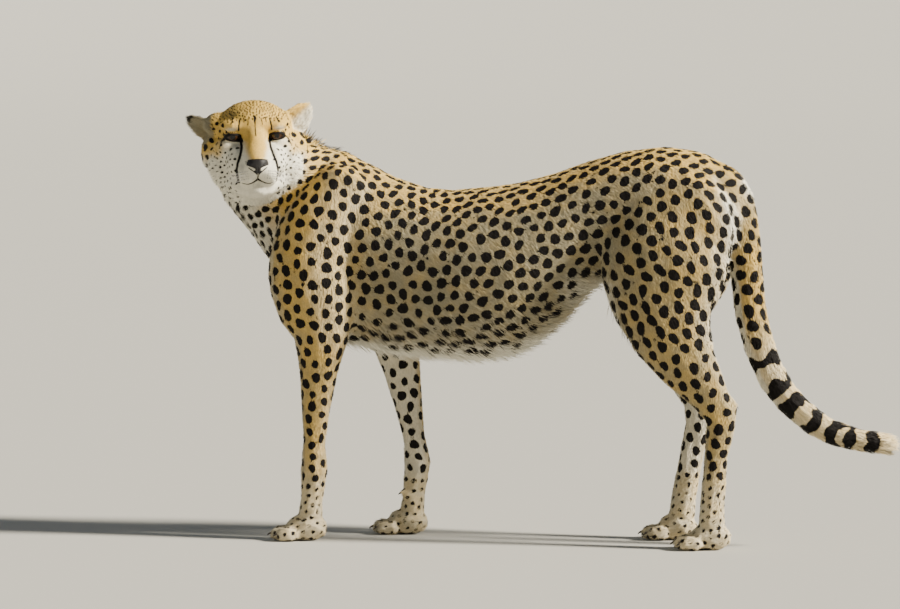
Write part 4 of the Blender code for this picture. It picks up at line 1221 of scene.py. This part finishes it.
for node_name in sorted(n for n in nodes if "claw" in n):
    low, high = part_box(node_name)
    t = np.linspace(0.0, 1.0, claw_rings)
    bend = claw_bend * t
    reach = high.x - low.x
    drop = high.z - low.z
    radius = claw_radius * (1 - 0.74 * t**1.3)
    path = np.stack([
        high.x + 0.0015 - (reach + 0.0010) * np.sin(bend) / math.sin(claw_bend),
        np.full(claw_rings, (low.y + high.y) / 2),
        high.z - 0.0032 - (drop - 0.0042) * (1 - np.cos(bend)) / (1 - math.cos(claw_bend)),
    ], axis=1)
    heading = unit(np.gradient(path, axis=0))
    aside = np.tile((0.0, 1.0, 0.0), (claw_rings, 1))
    rings = rod(path, heading, aside, radius, claw_sides, 0.74)
    claw_points = np.concatenate([rings, path[:1], path[-1:] + heading[-1:] * 0.0006])
    claw_points[:, 2] = np.maximum(claw_points[:, 2], 0.0)
    around, end = np.arange(claw_sides), (claw_rings - 1) * claw_sides
    beyond = (around + 1) % claw_sides
    claw_faces = np.concatenate([
        band(claw_rings, claw_sides),
        np.stack([0 * around + end + claw_sides, beyond, around], 1),
        np.stack([0 * around + end + claw_sides + 1, end + around, end + beyond], 1),
    ])
    made_name = node_name.replace("paw", "foot")
    mesh = mesh_of(made_name, claw_points, outward(claw_points, claw_faces))
    mesh.shade_smooth()
    attribute(mesh, "along", np.concatenate([np.repeat(t, claw_sides), [0.0, 1.0]]))
    horn_claw = piece_of(made_name, mesh, claw_finish)
    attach(horn_claw, "root")
    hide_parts(node_name)

# ---- whiskers ----------------------------------------------------------------------------------------------
# The whiskers are stiff white bristles in rows on the pads of the upper lip. They taper to a point and bend
# back and down.

whisker_finish, tree, bristle = new_finish("whisker_bristle", {"Roughness": 0.35})
along_bristle = added(tree, "Attribute", {}, attribute_name="along").outputs["Fac"]
bristle_shades = ((0.0, (0.62, 0.60, 0.56)), (1.0, (0.86, 0.85, 0.82)))
put(tree, bristle.inputs["Base Color"], ramped(tree, along_bristle, bristle_shades))

whisker_length, whisker_radius, whisker_droop = 0.052, 0.00024, 0.55
whisker_rings, whisker_sides = 9, 4
whisker_ends = np.array(((0, 2, 1), (0, 3, 2), (32, 33, 34), (32, 34, 35)))
bristle_points, bristle_faces, bristle_along = [], [], []
for side in (1, -1):
    for across, up in whisker_rows:
        hit = hide_tree.ray_cast(Vector(from_head((side * across, 0.16, up))), looking)[0]
        if hit is None:
            continue
        start = to_head(np.array(hit)[None])[0]
        length = whisker_length * draw.uniform(0.6, 1.1)
        sideways, forwards = 0.85 + draw.uniform(-0.1, 0.1), 0.10 + draw.uniform(-0.25, 0.25)
        way = unit(np.array((side * sideways, forwards, -0.30 * whisker_droop)))
        t = np.linspace(0, 1, whisker_rings)[:, None]
        path = start + way * length * t + np.array((0.0, -0.55, -0.35 * whisker_droop)) * length * t**2
        path = from_head(path)
        radius = whisker_radius * (1 - 0.85 * t[:, 0])
        heading = unit(np.gradient(path, axis=0))
        shape = rod(path, heading, unit(np.cross(heading, (0.0, 0.0, 1.0))), radius, whisker_sides)
        faces = outward(shape, np.concatenate([band(whisker_rings, whisker_sides), whisker_ends]))
        bristle_faces.append(faces + sum(len(p) for p in bristle_points))
        bristle_points.append(shape)
        bristle_along.append(np.repeat(t[:, 0], whisker_sides))
mesh = mesh_of("whiskers", np.concatenate(bristle_points), np.concatenate(bristle_faces))
mesh.shade_smooth()
attribute(mesh, "along", np.concatenate(bristle_along))
whiskers = piece_of("whiskers", mesh, whisker_finish)
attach(whiskers, "root")

# ---- stage -------------------------------------------------------------------------------------------------
# A plain pale floor rises at its far edge into a plain wall all round. One low, warm lamp stands on the
# tail's side, and a weak, pale blue light comes from everywhere.

stage_profile = [(0.0, 0.0), (6.0, 0.0), (20.0, 0.0)]  # distance from the middle, height
stage_profile += [
    (20.0 + 12.0 * math.sin(turn), 12.0 - 12.0 * math.cos(turn)) for turn in np.linspace(0.12, 1.2, 14)
]
stage_sides = 64
stage_turns = np.linspace(0, 2 * math.pi, stage_sides, endpoint=False)
ring_ways = [(math.cos(turn), math.sin(turn)) for turn in stage_turns]
stage_points = [(0.0, 0.0, -0.0005)]
for out, high in stage_profile[1:]:
    stage_points += [(out * x, out * y, high - 0.0005) for x, y in ring_ways]
stage_faces = [(0, 1 + k, 1 + (k + 1) % stage_sides) for k in range(stage_sides)]
for ring in range(len(stage_profile) - 2):
    base = 1 + ring * stage_sides
    for k in range(stage_sides):
        after = (k + 1) % stage_sides
        stage_faces.append((base + k, base + stage_sides + k, base + stage_sides + after, base + after))
stage_mesh = bpy.data.meshes.new("stage")
stage_mesh.from_pydata(stage_points, [], stage_faces)
stage_mesh.shade_smooth()
stage_finish, _, _ = new_finish("pale_stage", {"Base Color": (0.45, 0.44, 0.40, 1), "Roughness": 0.9})
piece_of("stage", stage_mesh, stage_finish)

world = bpy.data.worlds.new("studio")
world.use_nodes = True
world.node_tree.nodes["Background"].inputs["Color"].default_value = (0.70, 0.83, 1.0, 1)
world.node_tree.nodes["Background"].inputs["Strength"].default_value = 0.20
bpy.context.scene.world = world

key = bpy.data.lights.new("key", "SUN")
key.energy, key.angle, key.color = 13.5, math.radians(8.0), (1.0, 0.93, 0.80)
key_lamp = bpy.data.objects.new("key", key)
bpy.context.scene.collection.objects.link(key_lamp)
key_lamp.rotation_euler = Vector((0.85, -0.08, 0.50)).to_track_quat("Z", "Y").to_euler()

camera_data = bpy.data.cameras.new("camera")
camera = bpy.data.objects.new("camera", camera_data)
bpy.context.scene.collection.objects.link(camera)
aim = Vector((-0.180, 0.040, 0.4475))
azimuth, elevation, away, view_width = math.radians(12.0), math.radians(4.0), 12.0, 1.71
level = math.cos(elevation)
back = Vector((math.sin(azimuth) * level, -math.cos(azimuth) * level, math.sin(elevation)))
camera.location = aim + back * away
camera.rotation_euler = back.to_track_quat("Z", "Y").to_euler()
camera_data.sensor_width, camera_data.lens = 36.0, 36.0 * away / view_width
bpy.context.scene.camera = camera
